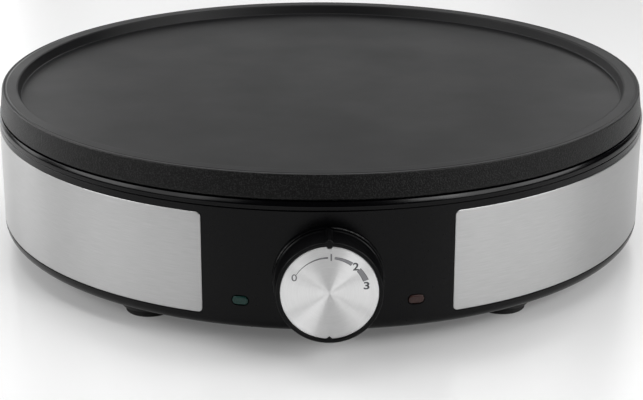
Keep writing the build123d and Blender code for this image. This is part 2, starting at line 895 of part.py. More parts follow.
    # Screw holes: through and counterbored in the towers, blind in the bosses, posts and pads
    with BuildSketch(Plane.XY.offset(housing_bottom)):
        with Locations(*tower_points):
            Circle(plate_head_radius + hole_end_room)
    extrude(amount=plate_screw_seat - housing_bottom, mode=Mode.SUBTRACT)
    with BuildSketch(Plane.XY.offset(plate_screw_seat)):
        with Locations(*tower_points):
            Circle(plate_screw_radius + screw_clearance)
    extrude(amount=tower_top - plate_screw_seat, mode=Mode.SUBTRACT)
    with BuildSketch(Plane.XY.offset(housing_bottom)):
        with Locations(*foot_points):
            Circle(cover_screw_radius + thread_clearance)
    extrude(amount=foot_screw_length + pad_thickness - housing_bottom + hole_end_room, mode=Mode.SUBTRACT)
    with BuildSketch(Plane.XY.offset(lip_bottom)):
        with Locations(*cover_screw_points):
            Circle(cover_screw_radius + thread_clearance)
    extrude(amount=cover_screw_length - cover_thickness + hole_end_room, mode=Mode.SUBTRACT)
    for hole_points, mouth in ((block_ear_points, block_bottom), (cord_post_points, cord_post_top)):
        with BuildSketch(Plane.XY.offset(mouth)):
            with Locations(*hole_points):
                Circle(post_screw_radius + thread_clearance)
        extrude(amount=-(post_screw_length - ear_thickness + hole_end_room), mode=Mode.SUBTRACT)
housing.part.label = "housing"
export_step(housing.part, "parts/housing.step")

with BuildPart() as bezel_ring:
    revolve(
        half_section(
            [
                (housing_radius - top_chamfer, groove_height),
                (housing_radius + bezel_overhang, groove_height + top_chamfer),
                (housing_radius + bezel_overhang, bezel_top),
                (housing_radius + bezel_overhang - bezel_width, bezel_top),
                (housing_radius + bezel_overhang - bezel_width, bezel_top - bezel_thickness),
                (housing_inner_radius - spigot_clearance - spigot_wall, bezel_top - bezel_thickness),
                (housing_inner_radius - spigot_clearance - spigot_wall, groove_height - spigot_depth),
                (housing_inner_radius - spigot_clearance, groove_height - spigot_depth),
                (housing_inner_radius - spigot_clearance, groove_height),
            ],
            [0, 0, bezel_lip_radius, 0, 0, 0, 0, 0, 0],
        ),
        axis=Axis.Z,
    )
bezel_ring.part.label = "bezel_ring"
export_step(bezel_ring.part, "parts/bezel_ring.step")

hook_inner_radius = hook_outer_radius - panel_thickness
tab_places = [Location(polar(hook_inner_radius, angle), (0, 0, angle - 90)) for angle in tab_angles]
with BuildPart() as right_panel:
    add(
        panel_block(
            panel_inner_radius, housing_radius, panel_bottom, panel_top, panel_start, panel_end, panel_corner
        )
    )
    # Tabs go through the wall's slots and are bent over inside it
    for level, hook_start in (
        (panel_top - panel_thickness, panel_top - tab_hook),
        (panel_bottom, panel_bottom),
    ):
        for low, rise, depth in (
            (level, panel_thickness, panel_inner_radius + panel_thickness / 2 - hook_inner_radius),
            (hook_start, tab_hook, panel_thickness),
        ):
            with BuildSketch(Plane.XY.offset(low)):
                with Locations(*tab_places):
                    Rectangle(depth, tab_width, align=(Align.MIN, Align.CENTER))
            extrude(amount=rise)
right_panel.part.label = "right_panel"
export_step(right_panel.part, "parts/right_panel.step")

with BuildPart() as left_panel:
    add(mirror(right_panel.part, about=Plane.YZ, mode=Mode.PRIVATE))
left_panel.part.label = "left_panel"
export_step(left_panel.part, "parts/left_panel.step")

with BuildPart() as base_cover:
    with BuildSketch(Plane.XY.offset(cover_bottom)):
        Circle(cover_radius)
        with PolarLocations(vent_circle, vent_count):
            SlotOverall(vent_length, vent_width, mode=Mode.SUBTRACT)
        with PolarLocations(inner_vent_circle, inner_vent_count):
            SlotOverall(inner_vent_length, vent_width, mode=Mode.SUBTRACT)
        with Locations(*cover_screw_points):
            Circle(cover_screw_radius + screw_clearance, mode=Mode.SUBTRACT)
    extrude(amount=cover_thickness)
base_cover.part.label = "base_cover"
export_step(base_cover.part, "parts/base_cover.step")

cover_screw = screw(cover_head_radius, cover_head_height, cover_screw_radius, cover_screw_length)
with BuildPart() as cover_screws:
    with Locations(*[(x, y, cover_bottom) for x, y, z in cover_screw_points]):
        add(cover_screw)
cover_screws.part.label = "cover_screws"
export_step(cover_screws.part, "parts/cover_screws.step")

# ---------------------------------------------------------------- feet
with BuildPart() as foot_shape:
    revolve(
        half_section(
            [
                (cover_screw_radius + screw_clearance, pad_thickness),
                (pad_radius + thread_clearance, pad_thickness),
                (pad_radius + thread_clearance, pad_thickness - foot_rim),
                (foot_bottom_radius, pad_thickness - foot_rim),
                (foot_top_radius, housing_bottom),
                (cover_screw_radius + screw_clearance, housing_bottom),
            ]
        ),
        axis=Axis.Z,
    )
with BuildPart() as feet:
    with Locations(*foot_points):
        add(foot_shape.part)
feet.part.label = "feet"
export_step(feet.part, "parts/feet.step")

with BuildPart() as foot_pads:
    with BuildSketch():
        with Locations(*foot_points):
            Circle(pad_radius)
            Circle(pad_hole_radius, mode=Mode.SUBTRACT)
    extrude(amount=pad_thickness)
    chamfer(foot_pads.edges().filter_by(GeomType.CIRCLE).group_by(Axis.Z)[0], pad_thickness * 0.1)
foot_pads.part.label = "foot_pads"
export_step(foot_pads.part, "parts/foot_pads.step")

foot_screw = screw(foot_head_radius, foot_head_height, cover_screw_radius, foot_screw_length)
with BuildPart() as foot_screws:
    with Locations(*[(x, y, pad_thickness) for x, y, z in foot_points]):
        add(foot_screw)
foot_screws.part.label = "foot_screws"
export_step(foot_screws.part, "parts/foot_screws.step")

# ---------------------------------------------------------------- knob and spindle
rib_height = knob_height + rib_circle
key_heights = [knob_height + side * disc_radius for side in (-1, 1)]

with BuildPart() as knob_body:
    revolve(
        half_section(
            [
                (0, disc_seat),
                (disc_radius + disc_clearance, disc_seat),
                (disc_radius + disc_clearance, knob_front),
                (knob_side_radius - knob_bevel, knob_front),
                (knob_side_radius, knob_front - knob_bevel),
                (knob_skirt_radius - knob_skirt_step, knob_rear + knob_skirt_band + knob_skirt_step),
                (knob_skirt_radius, knob_rear + knob_skirt_band),
                (knob_skirt_radius, knob_rear),
                (knob_skirt_radius - knob_wall, knob_rear),
                (disc_radius + disc_clearance, web_rear),
                (hub_radius, web_rear),
                (hub_radius, hub_rear),
                (0, hub_rear),
            ],
            plane=knob_plane,
        ),
        axis=knob_axis,
    )
    # Pointer rib on top, and keys above and below that bite into the disc
    with BuildSketch(Plane.XZ.offset(knob_rear + knob_skirt_band)):
        with Locations((0, rib_height)):
            Circle(rib_radius)
    extrude(amount=knob_front - knob_rear - knob_skirt_band)
    with BuildSketch(Plane.XZ.offset(web_rear)):
        with Locations(*[(0, z) for z in key_heights]):
            Circle(key_radius)
    extrude(amount=knob_front - web_rear)
    # Bore for the spindle, its flat leaving room for the spring clip
    with BuildSketch(Plane.XZ.offset(hub_rear)):
        with Locations((0, knob_height)):
            Circle(spindle_radius + thread_clearance)
        with Locations((0, knob_height + spindle_flat + clip_thickness)):
            Rectangle(2 * hub_radius, hub_radius, align=(Align.CENTER, Align.MIN), mode=Mode.SUBTRACT)
    extrude(amount=web_rear - hub_rear, mode=Mode.SUBTRACT)
knob_body.part.label = "knob_body"
export_step(knob_body.part, "parts/knob_body.step")

with BuildPart() as knob_disc:
    with BuildSketch(Plane.XZ.offset(disc_seat)):
        with Locations((0, knob_height)):
            Circle(disc_radius)
        with Locations(*[(0, z) for z in key_heights]):
            Circle(key_radius + disc_clearance, mode=Mode.SUBTRACT)
    extrude(amount=disc_thickness)
knob_disc.part.label = "knob_disc"
export_step(knob_disc.part, "parts/knob_disc.step")

with BuildPart() as knob_clip:
    with BuildSketch(Plane.XZ.offset(spindle_front - clip_length)):
        with Locations((0, knob_height + spindle_flat)):
            Rectangle(clip_width, clip_thickness, align=(Align.CENTER, Align.MIN))
    extrude(amount=clip_length)
knob_clip.part.label = "knob_clip"
export_step(knob_clip.part, "parts/knob_clip.step")

spindle_clip_rear = neck_front + slider_clearance
spindle_clip_front = spindle_clip_rear + spindle_clip_thickness

with BuildPart() as spindle:
    revolve(
        half_section(
            [
                (0, stud_end),
                (stud_radius, stud_end),
                (stud_radius, spindle_collar_rear),
                (spindle_collar_radius, spindle_collar_rear),
                (spindle_collar_radius, spindle_collar_front),
                (spindle_radius, spindle_collar_front),
                (spindle_radius, spindle_clip_rear),
                (spindle_groove_radius, spindle_clip_rear),
                (spindle_groove_radius, spindle_clip_front),
                (spindle_radius, spindle_clip_front),
                (spindle_radius, spindle_front),
                (0, spindle_front),
            ],
            plane=knob_plane,
        ),
        axis=knob_axis,
    )
    with BuildSketch(Plane.XZ.offset(knob_rear)):
        with Locations((0, knob_height + spindle_flat)):
            Rectangle(2 * spindle_radius, spindle_radius, align=(Align.CENTER, Align.MIN))
    extrude(amount=spindle_front - knob_rear, mode=Mode.SUBTRACT)
spindle.part.label = "spindle"
export_step(spindle.part, "parts/spindle.step")

with BuildPart() as spindle_clip:
    with BuildSketch(Plane.XZ.offset(spindle_clip_rear)):
        with Locations((0, knob_height)):
            Circle(spindle_clip_radius)
            Circle(spindle_groove_radius, mode=Mode.SUBTRACT)
        with Locations((0, knob_height)):
            Rectangle(
                spindle_groove_radius * 1.5,
                2 * spindle_clip_radius,
                align=(Align.CENTER, Align.MAX),
                mode=Mode.SUBTRACT,
            )
    extrude(amount=spindle_clip_thickness)
spindle_clip.part.label = "spindle_clip"
export_step(spindle_clip.part, "parts/spindle_clip.step")

# ---------------------------------------------------------------- thermostat
with BuildPart() as thermostat_bracket:
    with BuildSketch(Plane.XY.offset(hanger_boss_end - bracket_thickness)):
        with Locations((0, -bracket_reach)):
            Rectangle(2 * bracket_half_width, bracket_tail, align=(Align.CENTER, Align.MIN))
        with Locations(*bracket_boss_points):
            Circle(casting_screw_radius + screw_clearance, mode=Mode.SUBTRACT)
    extrude(amount=bracket_thickness)
    with BuildSketch(Plane.XZ.offset(frame_front)):
        with Locations((0, hanger_boss_end)):
            Rectangle(2 * bracket_half_width, bracket_height, align=(Align.CENTER, Align.MAX))
        with Locations((0, knob_height)):
            Circle(neck_radius + thread_clearance, mode=Mode.SUBTRACT)
    extrude(amount=bracket_thickness)
thermostat_bracket.part.label = "thermostat_bracket"
export_step(thermostat_bracket.part, "parts/thermostat_bracket.step")

with BuildPart() as thermostat_frame:
    with BuildSketch(Plane.XZ.offset(frame_rear)):
        with Locations((0, stack_bottom)):
            Rectangle(2 * frame_half_width, leaf_top - stack_bottom, align=(Align.CENTER, Align.MIN))
    extrude(amount=frame_thickness)
    with BuildSketch(Plane.XZ.offset(frame_front)):
        with Locations((0, knob_height)):
            Circle(neck_radius)
    extrude(amount=neck_length)
    with BuildSketch(Plane.XZ.offset(frame_rear - rail_length)):
        for side in (-1, 1):
            with Locations((side * (slider_size / 2 + slider_clearance + frame_thickness / 2), knob_height)):
                Rectangle(frame_thickness, slider_size)
    extrude(amount=rail_length)
    with BuildSketch(Plane.XZ.offset(frame_rear)):
        with Locations((0, knob_height)):
            Circle(spindle_radius + running_clearance)
        with Locations((0, stack_middle)):
            Circle(rivet_radius + thread_clearance)
    extrude(amount=neck_length + frame_thickness, mode=Mode.SUBTRACT)
thermostat_frame.part.label = "thermostat_frame"
export_step(thermostat_frame.part, "parts/thermostat_frame.step")

with BuildPart() as thermostat_nut:
    with BuildSketch(Plane.XZ.offset(bracket_reach)):
        with Locations((0, knob_height)):
            RegularPolygon(nut_radius, 6)
            Circle(neck_radius + thread_clearance, mode=Mode.SUBTRACT)
    extrude(amount=nut_thickness)
thermostat_nut.part.label = "thermostat_nut"
export_step(thermostat_nut.part, "parts/thermostat_nut.step")

with BuildPart() as thermostat_slider:
    with BuildSketch(Plane.XZ.offset(slider_rear)):
        with Locations((0, knob_height)):
            Rectangle(slider_size, slider_size)
    extrude(amount=slider_length)
    with BuildSketch(Plane.XZ.offset(nose_end)):
        with Locations((0, knob_height)):
            Circle(nose_radius)
    extrude(amount=nose_length)
    with BuildSketch(Plane.XZ.offset(nose_end + nose_cap)):
        with Locations((0, knob_height)):
            Circle(stud_radius + running_clearance)
    extrude(amount=slider_front - nose_end - nose_cap, mode=Mode.SUBTRACT)
thermostat_slider.part.label = "thermostat_slider"
export_step(thermostat_slider.part, "parts/thermostat_slider.step")

with BuildPart() as thermostat_wafers:
    for wafer_rear, wafer_front in (
        (leaf_front, frame_rear),
        (fixed_front, leaf_rear),
        (bimetal_front, fixed_rear),
    ):
        with BuildSketch(Plane.XZ.offset(wafer_rear)):
            with Locations((0, stack_middle)):
                Rectangle(2 * wafer_half_width, stack_height)
                Circle(rivet_radius + thread_clearance, mode=Mode.SUBTRACT)
        extrude(amount=wafer_front - wafer_rear)
thermostat_wafers.part.label = "thermostat_wafers"
export_step(thermostat_wafers.part, "parts/thermostat_wafers.step")


def leaf(side, rear, half_width, thickness, pin_hole):
    """Spring strip riveted in the stack; with a side given, a blade for a connector points there."""
    with BuildPart() as made:
        with BuildSketch(Plane.XZ.offset(rear)):
            with Locations((0, stack_bottom)):
                Rectangle(2 * half_width, leaf_top - stack_bottom, align=(Align.CENTER, Align.MIN))
            if side:
                with Locations((side * blade_reach / 2, stack_middle)):
                    Rectangle(blade_reach, blade_width)
            with Locations((0, stack_middle)):
                Circle(rivet_radius + thread_clearance, mode=Mode.SUBTRACT)
            if pin_hole:
                with Locations((0, push_pin_level)):
                    Circle(pin_hole, mode=Mode.SUBTRACT)
        extrude(amount=thickness)
    return made.part


with BuildPart() as contact_leaf:
    add(leaf(-1, leaf_rear, leaf_half_width, leaf_thickness, 0))
contact_leaf.part.label = "contact_leaf"
export_step(contact_leaf.part, "parts/contact_leaf.step")

with BuildPart() as fixed_leaf:
    add(leaf(1, fixed_rear, leaf_half_width, leaf_thickness, push_pin_hole_radius))
fixed_leaf.part.label = "fixed_leaf"
export_step(fixed_leaf.part, "parts/fixed_leaf.step")

with BuildPart() as bimetal_strip:
    add(leaf(0, bimetal_rear, bimetal_half_width, bimetal_thickness, 0))
bimetal_strip.part.label = "bimetal_strip"
export_step(bimetal_strip.part, "parts/bimetal_strip.step")

with BuildPart() as contact_points:
    for contact_rear in (fixed_front, leaf_rear - contact_height):
        with BuildSketch(Plane.XZ.offset(contact_rear)):
            with Locations((0, contact_level)):
                Circle(contact_radius)
        extrude(amount=contact_height)
contact_points.part.label = "contact_points"
export_step(contact_points.part, "parts/contact_points.step")

with BuildPart() as bimetal_pin:
    with BuildSketch(Plane.XZ.offset(bimetal_front)):
        with Locations((0, push_pin_level)):
            Circle(push_pin_radius)
    extrude(amount=leaf_rear - push_pin_clearance - bimetal_front)
bimetal_pin.part.label = "bimetal_pin"
export_step(bimetal_pin.part, "parts/bimetal_pin.step")

with BuildPart() as stack_rivet:
    with BuildSketch(Plane.XZ.offset(bimetal_rear)):
        with Locations((0, stack_middle)):
            Circle(rivet_radius)
    extrude(amount=frame_front - bimetal_rear)
    for head_rear in (bimetal_rear - rivet_head, frame_front):
        with BuildSketch(Plane.XZ.offset(head_rear)):
            with Locations((0, stack_middle)):
                Circle(rivet_head_radius)
        extrude(amount=rivet_head)
stack_rivet.part.label = "stack_rivet"
export_step(stack_rivet.part, "parts/stack_rivet.step")

# ---------------------------------------------------------------- pilot lamps
lamp_front = lens_shoulder - lens_front_wall - lens_clearance
lamp_rear = lamp_front - lamp_length


def lens(angle):
    """Tinted lens: a stub in the housing's window, a block behind the wall and a hollow barrel."""
    with BuildPart() as made:
        with BuildSketch(radial_plane(lens_shoulder, angle, lamp_height)):
            SlotOverall(lens_width, lens_height)
        extrude(amount=housing_radius + lens_proud - lens_shoulder)
        with BuildSketch(radial_plane(lens_rear, angle, lamp_height)):
            Rectangle(lens_block_width, lens_block_height)
        extrude(amount=lens_block_depth)
        with BuildSketch(radial_plane(lens_rear - lens_barrel_length, angle, lamp_height)):
            Circle(lens_barrel_radius)
        extrude(amount=lens_barrel_length)
        with BuildSketch(radial_plane(lens_rear - lens_barrel_length, angle, lamp_height)):
            Circle(lens_bore_radius)
        extrude(
            amount=lens_shoulder - lens_front_wall - lens_rear + lens_barrel_length,
            mode=Mode.SUBTRACT,
        )
    return made.part


def lamp(angle):
    """Neon lamp capsule with a rounded tip."""
    with BuildPart() as made:
        with BuildSketch(radial_plane(lamp_rear, angle, lamp_height)):
            Circle(lamp_radius)
        extrude(amount=lamp_length)
        outward = Axis(polar(0, angle), radial_plane(1, angle, 0).z_dir)
        fillet(made.edges().filter_by(GeomType.CIRCLE).sort_by(outward)[-1], lamp_radius * 0.8)
    return made.part


with BuildPart() as green_lens:
    add(lens(-lamp_angle))
green_lens.part.label = "green_lens"
export_step(green_lens.part, "parts/green_lens.step")

with BuildPart() as red_lens:
    add(lens(lamp_angle))
red_lens.part.label = "red_lens"
export_step(red_lens.part, "parts/red_lens.step")

with BuildPart() as green_lamp:
    add(lamp(-lamp_angle))
green_lamp.part.label = "green_lamp"
export_step(green_lamp.part, "parts/green_lamp.step")

with BuildPart() as red_lamp:
    add(lamp(lamp_angle))
red_lamp.part.label = "red_lamp"
export_step(red_lamp.part, "parts/red_lamp.step")

with BuildPart() as lamp_holders:
    for side in lamp_sides:
        with BuildSketch(radial_plane(holder_rear, side * lamp_angle, lamp_height)):
            RectangleRounded(holder_length, holder_height, small_corner)
            Circle(lens_barrel_radius + lens_clearance, mode=Mode.SUBTRACT)
            with GridLocations(lamp_post_spread, 0, 2, 1):
                Circle(post_screw_radius + screw_clearance, mode=Mode.SUBTRACT)
        extrude(amount=holder_thickness)
lamp_holders.part.label = "lamp_holders"
export_step(lamp_holders.part, "parts/lamp_holders.step")

# One size of small screw holds the lamp holders, the cord clamp and the terminal block
post_screw = screw(post_head_radius, post_head_height, post_screw_radius, post_screw_length)
downwards = Location((0, 0, 0), (180, 0, 0))
post_screw_places = [
    radial_plane(holder_rear, side * lamp_angle, lamp_height).location * Location((x, 0, 0))
    for side in lamp_sides
    for x in (-lamp_post_spread / 2, lamp_post_spread / 2)
]
for ear_points, ear_seat in ((cord_post_points, cord_post_top), (block_ear_points, block_bottom)):
    post_screw_places += [Location((x, y, ear_seat + ear_thickness)) * downwards for x, y in ear_points]
with BuildPart() as post_screws:
    with Locations(*post_screw_places):
        add(post_screw)
post_screws.part.label = "post_screws"
export_step(post_screws.part, "parts/post_screws.step")

# ---------------------------------------------------------------- thermal fuse and earth tag
fuse_level = hanger_boss_end - fuse_radius - sleeve_wall - lead_hole_clearance

with BuildPart() as thermal_fuse:
    with BuildSketch(Plane.YZ.offset(fuse_pad_x - fuse_length / 2)):
        with Locations((-fuse_pad_reach, fuse_level)):
            Circle(fuse_radius)
    extrude(amount=fuse_length)
thermal_fuse.part.label = "thermal_fuse"
export_step(thermal_fuse.part, "parts/thermal_fuse.step")

with BuildPart() as fuse_sleeve:
    with BuildSketch(Plane.YZ.offset(fuse_pad_x - sleeve_length / 2)):
        with Locations((-fuse_pad_reach, fuse_level)):
            Circle(fuse_radius + sleeve_wall)
            Circle(fuse_radius, mode=Mode.SUBTRACT)
    extrude(amount=sleeve_length)
fuse_sleeve.part.label = "fuse_sleeve"
export_step(fuse_sleeve.part, "parts/fuse_sleeve.step")

strap_inner_radius = fuse_radius + sleeve_wall + lead_hole_clearance
with BuildPart() as fuse_strap:
    with BuildSketch(Plane.YZ.offset(fuse_pad_x - strap_width / 2)):
        with Locations((-fuse_pad_reach, hanger_boss_end)):
            Rectangle(strap_length, strap_thickness, align=(Align.CENTER, Align.MAX))
        for half_width, mode in (
            (strap_inner_radius + strap_thickness, Mode.ADD),
            (strap_inner_radius, Mode.SUBTRACT),
        ):
            with Locations((-fuse_pad_reach, fuse_level)):
                Circle(half_width, mode=mode)
                Rectangle(
                    2 * half_width,
                    hanger_boss_end - fuse_level,
                    align=(Align.CENTER, Align.MIN),
                    mode=mode,
                )
        with Locations((-fuse_pad_reach, hanger_boss_end)):
            Rectangle(strap_length, strap_thickness, align=(Align.CENTER, Align.MIN), mode=Mode.SUBTRACT)
    extrude(amount=strap_width)
    with BuildSketch(Plane.XY.offset(hanger_boss_end - strap_thickness)):
        with Locations(*fuse_screw_points):
            Circle(casting_screw_radius + screw_clearance)
    extrude(amount=strap_thickness, mode=Mode.SUBTRACT)
fuse_strap.part.label = "fuse_strap"
export_step(fuse_strap.part, "parts/fuse_strap.step")

tag_barrel_radius = lead_radius + lead_hole_clearance + tag_wall
tag_level = hanger_boss_end - tag_barrel_radius
tag_barrel_start = tag_length - earth_boss_reach
with BuildPart() as earth_tag:
    with BuildSketch(Plane.XY.offset(hanger_boss_end - blade_thickness)):
        with Locations(earth_boss_point):
            Circle(tag_ring_radius)
            Rectangle(tag_tail_width, tag_length + tag_wall, align=(Align.CENTER, Align.MIN))
            Circle(casting_screw_radius + screw_clearance, mode=Mode.SUBTRACT)
    extrude(amount=blade_thickness)
    with BuildSketch(Plane.XZ.offset(-tag_barrel_start)):
        with Locations((earth_boss_x, tag_level)):
            Circle(tag_barrel_radius)
    extrude(amount=-tag_barrel_length)
    with BuildSketch(Plane.XZ.offset(-tag_barrel_start)):
        with Locations((earth_boss_x, tag_level)):
            Circle(lead_radius + lead_hole_clearance)
    extrude(amount=-tag_barrel_length, mode=Mode.SUBTRACT)
earth_tag.part.label = "earth_tag"
export_step(earth_tag.part, "parts/earth_tag.step")

# ---------------------------------------------------------------- terminal block and cord inlet
poles = [k * pole_pitch for k in (-1, 0, 1)]
wire_screw_points = [(x, block_back + side * wire_screw_spread / 2) for x in poles for side in (-1, 1)]
wire_screw_tip = wire_level + lead_radius + slider_clearance

with BuildPart() as terminal_block:
    with BuildSketch(Plane.XY.offset(block_bottom)):
        with Locations((0, block_back)):
            RectangleRounded(block_ear_length, block_ear_depth, small_corner)
        with Locations(*block_ear_points):
            Circle(post_screw_radius + screw_clearance, mode=Mode.SUBTRACT)
    extrude(amount=ear_thickness)
    with BuildSketch(Plane.XY.offset(block_bottom)):
        with Locations((0, block_back)):
            Rectangle(block_length, block_depth)
    extrude(amount=block_height)
    with BuildSketch(Plane.XZ.offset(block_depth / 2 - block_back)):
        with Locations(*[(x, wire_level) for x in poles]):
            Rectangle(insert_width + 2 * insert_clearance, insert_height + 2 * insert_clearance)
    extrude(amount=-block_depth, mode=Mode.SUBTRACT)
    with BuildSketch(Plane.XY.offset(wire_level)):
        with Locations(*wire_screw_points):
            Circle(well_radius)
    extrude(amount=block_height, mode=Mode.SUBTRACT)
terminal_block.part.label = "terminal_block"
export_step(terminal_block.part, "parts/terminal_block.step")

with BuildPart() as block_inserts:
    with BuildSketch(Plane.XZ.offset(insert_length / 2 - block_back)):
        with Locations(*[(x, wire_level - insert_clearance) for x in poles]):
            Rectangle(insert_width, insert_height)
        with Locations(*[(x, wire_level) for x in poles]):
            Circle(wire_hole_radius, mode=Mode.SUBTRACT)
    extrude(amount=-insert_length)
    with BuildSketch(Plane.XY.offset(wire_level)):
        with Locations(*wire_screw_points):
            Circle(wire_screw_radius + thread_clearance)
    extrude(amount=insert_height, mode=Mode.SUBTRACT)
block_inserts.part.label = "block_inserts"
export_step(block_inserts.part, "parts/block_inserts.step")

with BuildPart() as block_wire_screws:
    with BuildSketch(Plane.XY.offset(wire_screw_tip)):
        with Locations(*wire_screw_points):
            Circle(wire_screw_radius)
    extrude(amount=wire_screw_length)
    with BuildSketch(Plane.XY.offset(wire_screw_tip + wire_screw_length - wire_slot_depth)):
        with Locations(*wire_screw_points):
            Rectangle(2 * wire_screw_radius, wire_slot_width)
    extrude(amount=wire_slot_depth, mode=Mode.SUBTRACT)
block_wire_screws.part.label = "block_wire_screws"
export_step(block_wire_screws.part, "parts/block_wire_screws.step")

with BuildPart() as cord_gland:
    revolve(
        half_section(
            [
                (gland_bore_radius, inlet_boss_face - gland_inside),
                (gland_neck_radius, inlet_boss_face - gland_inside),
                (gland_neck_radius, inlet_boss_face),
                (gland_flange_radius, inlet_boss_face),
                (gland_flange_radius, inlet_boss_face + gland_flange_thickness),
                (gland_root_radius, inlet_boss_face + gland_flange_thickness + gland_shoulder),
                (gland_tip_radius, gland_tip),
                (gland_bore_radius, gland_tip),
            ],
            plane=inlet_plane,
        ),
        axis=inlet_axis,
    )
cord_gland.part.label = "cord_gland"
export_step(cord_gland.part, "parts/cord_gland.step")

with BuildPart() as gland_nut:
    with BuildSketch(Plane.XZ.offset(-inlet_boss_inner)):
        with Locations((0, inlet_height)):
            RegularPolygon(gland_nut_radius, 6)
            Circle(gland_neck_radius + thread_clearance, mode=Mode.SUBTRACT)
    extrude(amount=gland_nut_thickness)
gland_nut.part.label = "gland_nut"
export_step(gland_nut.part, "parts/gland_nut.step")

with BuildPart() as cord_clamp:
    with BuildSketch(Plane.XZ.offset(-cord_clamp_back - cord_clamp_width / 2)):
        with Locations((0, cord_post_top)):
            Rectangle(cord_clamp_length, ear_thickness, align=(Align.CENTER, Align.MIN))
        with Locations((0, inlet_height)):
            Circle(gland_bore_radius + cord_clamp_wall)
            Circle(gland_bore_radius, mode=Mode.SUBTRACT)
        with Locations((0, cord_post_top)):
            Rectangle(
                cord_clamp_length,
                gland_bore_radius + cord_clamp_wall,
                align=(Align.CENTER, Align.MAX),
                mode=Mode.SUBTRACT,
            )
            Rectangle(
                2 * gland_bore_radius,
                cord_post_drop,
                align=(Align.CENTER, Align.MIN),
                mode=Mode.SUBTRACT,
            )
    extrude(amount=cord_clamp_width)
    with BuildSketch(Plane.XY.offset(cord_post_top)):
        with Locations(*cord_post_points):
            Circle(post_screw_radius + screw_clearance)
    extrude(amount=ear_thickness, mode=Mode.SUBTRACT)
cord_clamp.part.label = "cord_clamp"
export_step(cord_clamp.part, "parts/cord_clamp.step")

# ---------------------------------------------------------------- connectors and leads
mouth_x = blade_reach - blade_cover
leaf_reach = leaf_rear + leaf_thickness / 2
fixed_reach = fixed_rear + leaf_thickness / 2
tab_mouth = -leg_reach + element_tab_length - blade_cover
leaf_end = (-mouth_x - connector_length, -leaf_reach, stack_middle)
fixed_end = (mouth_x + connector_length, -fixed_reach, stack_middle)
tab_ends = [(side * leg_x, tab_mouth + connector_length, element_tab_height) for side in (-1, 1)]

with BuildPart() as spade_connectors:
    with Locations(Location((-mouth_x, -leaf_reach, stack_middle), (0, 0, 180))):
        add(connector(leaf_thickness))
    with Locations((mouth_x, -fixed_reach, stack_middle)):
        add(connector(leaf_thickness))
    for x, y in leg_points:
        with Locations(Plane((x, tab_mouth, element_tab_height), x_dir=(0, 1, 0), z_dir=(1, 0, 0))):
            add(connector(blade_thickness))
spade_connectors.part.label = "spade_connectors"
export_step(spade_connectors.part, "parts/spade_connectors.step")

neutral_pole, earth_pole, live_pole = [(x, block_back - hole_end_room, wire_level) for x in poles]
fuse_ends = [(fuse_pad_x + side * fuse_length / 2, -fuse_pad_reach, fuse_level) for side in (-1, 1)]
earth_start = (earth_boss_x, tag_barrel_start + tag_wall, tag_level)

lead_routes = {
    "live_lead": [
        fixed_end,
        (45, -fixed_reach, stack_middle),
        (58, -60, 28),
        (55, 0, 30),
        (40, 50, 30),
        (pole_pitch, 88, wire_level),
        live_pole,
    ],
    "neutral_lead": [
        tab_ends[1],
        (leg_x, -70, element_tab_height),
        (10, -20, 30),
        (-6, 40, 26),
        (-pole_pitch, 80, wire_level),
        neutral_pole,
    ],
    "switched_lead": [
        leaf_end,
        (-50, -leaf_reach, stack_middle),
        (-78, -100, 30),
        (-82, -64, 50),
        (-72, -fuse_pad_reach, fuse_level),
        fuse_ends[0],
    ],
    "fuse_lead": [
        fuse_ends[1],
        (-26, -fuse_pad_reach, fuse_level),
        (-18, -61, 46),
        (-leg_x, -75, element_tab_height),
        tab_ends[0],
    ],
    "earth_lead": [
        earth_start,
        (earth_boss_x, tag_barrel_start + 2 * tag_barrel_length, tag_level),
        (earth_boss_x, 0, 48),
        (30, 30, 38),
        (8, 70, 26),
        (0, 88, wire_level),
        earth_pole,
    ],
}

with BuildPart() as live_lead:
    add(lead(lead_routes["live_lead"], lead_radius))
live_lead.part.label = "live_lead"
export_step(live_lead.part, "parts/live_lead.step")

with BuildPart() as neutral_lead:
    add(lead(lead_routes["neutral_lead"], lead_radius))
neutral_lead.part.label = "neutral_lead"
export_step(neutral_lead.part, "parts/neutral_lead.step")

with BuildPart() as switched_lead:
    add(lead(lead_routes["switched_lead"], lead_radius))
switched_lead.part.label = "switched_lead"
export_step(switched_lead.part, "parts/switched_lead.step")

with BuildPart() as fuse_lead:
    add(lead(lead_routes["fuse_lead"], lead_radius))
fuse_lead.part.label = "fuse_lead"
export_step(fuse_lead.part, "parts/fuse_lead.step")

with BuildPart() as earth_lead:
    add(lead(lead_routes["earth_lead"], lead_radius))
earth_lead.part.label = "earth_lead"
export_step(earth_lead.part, "parts/earth_lead.step")

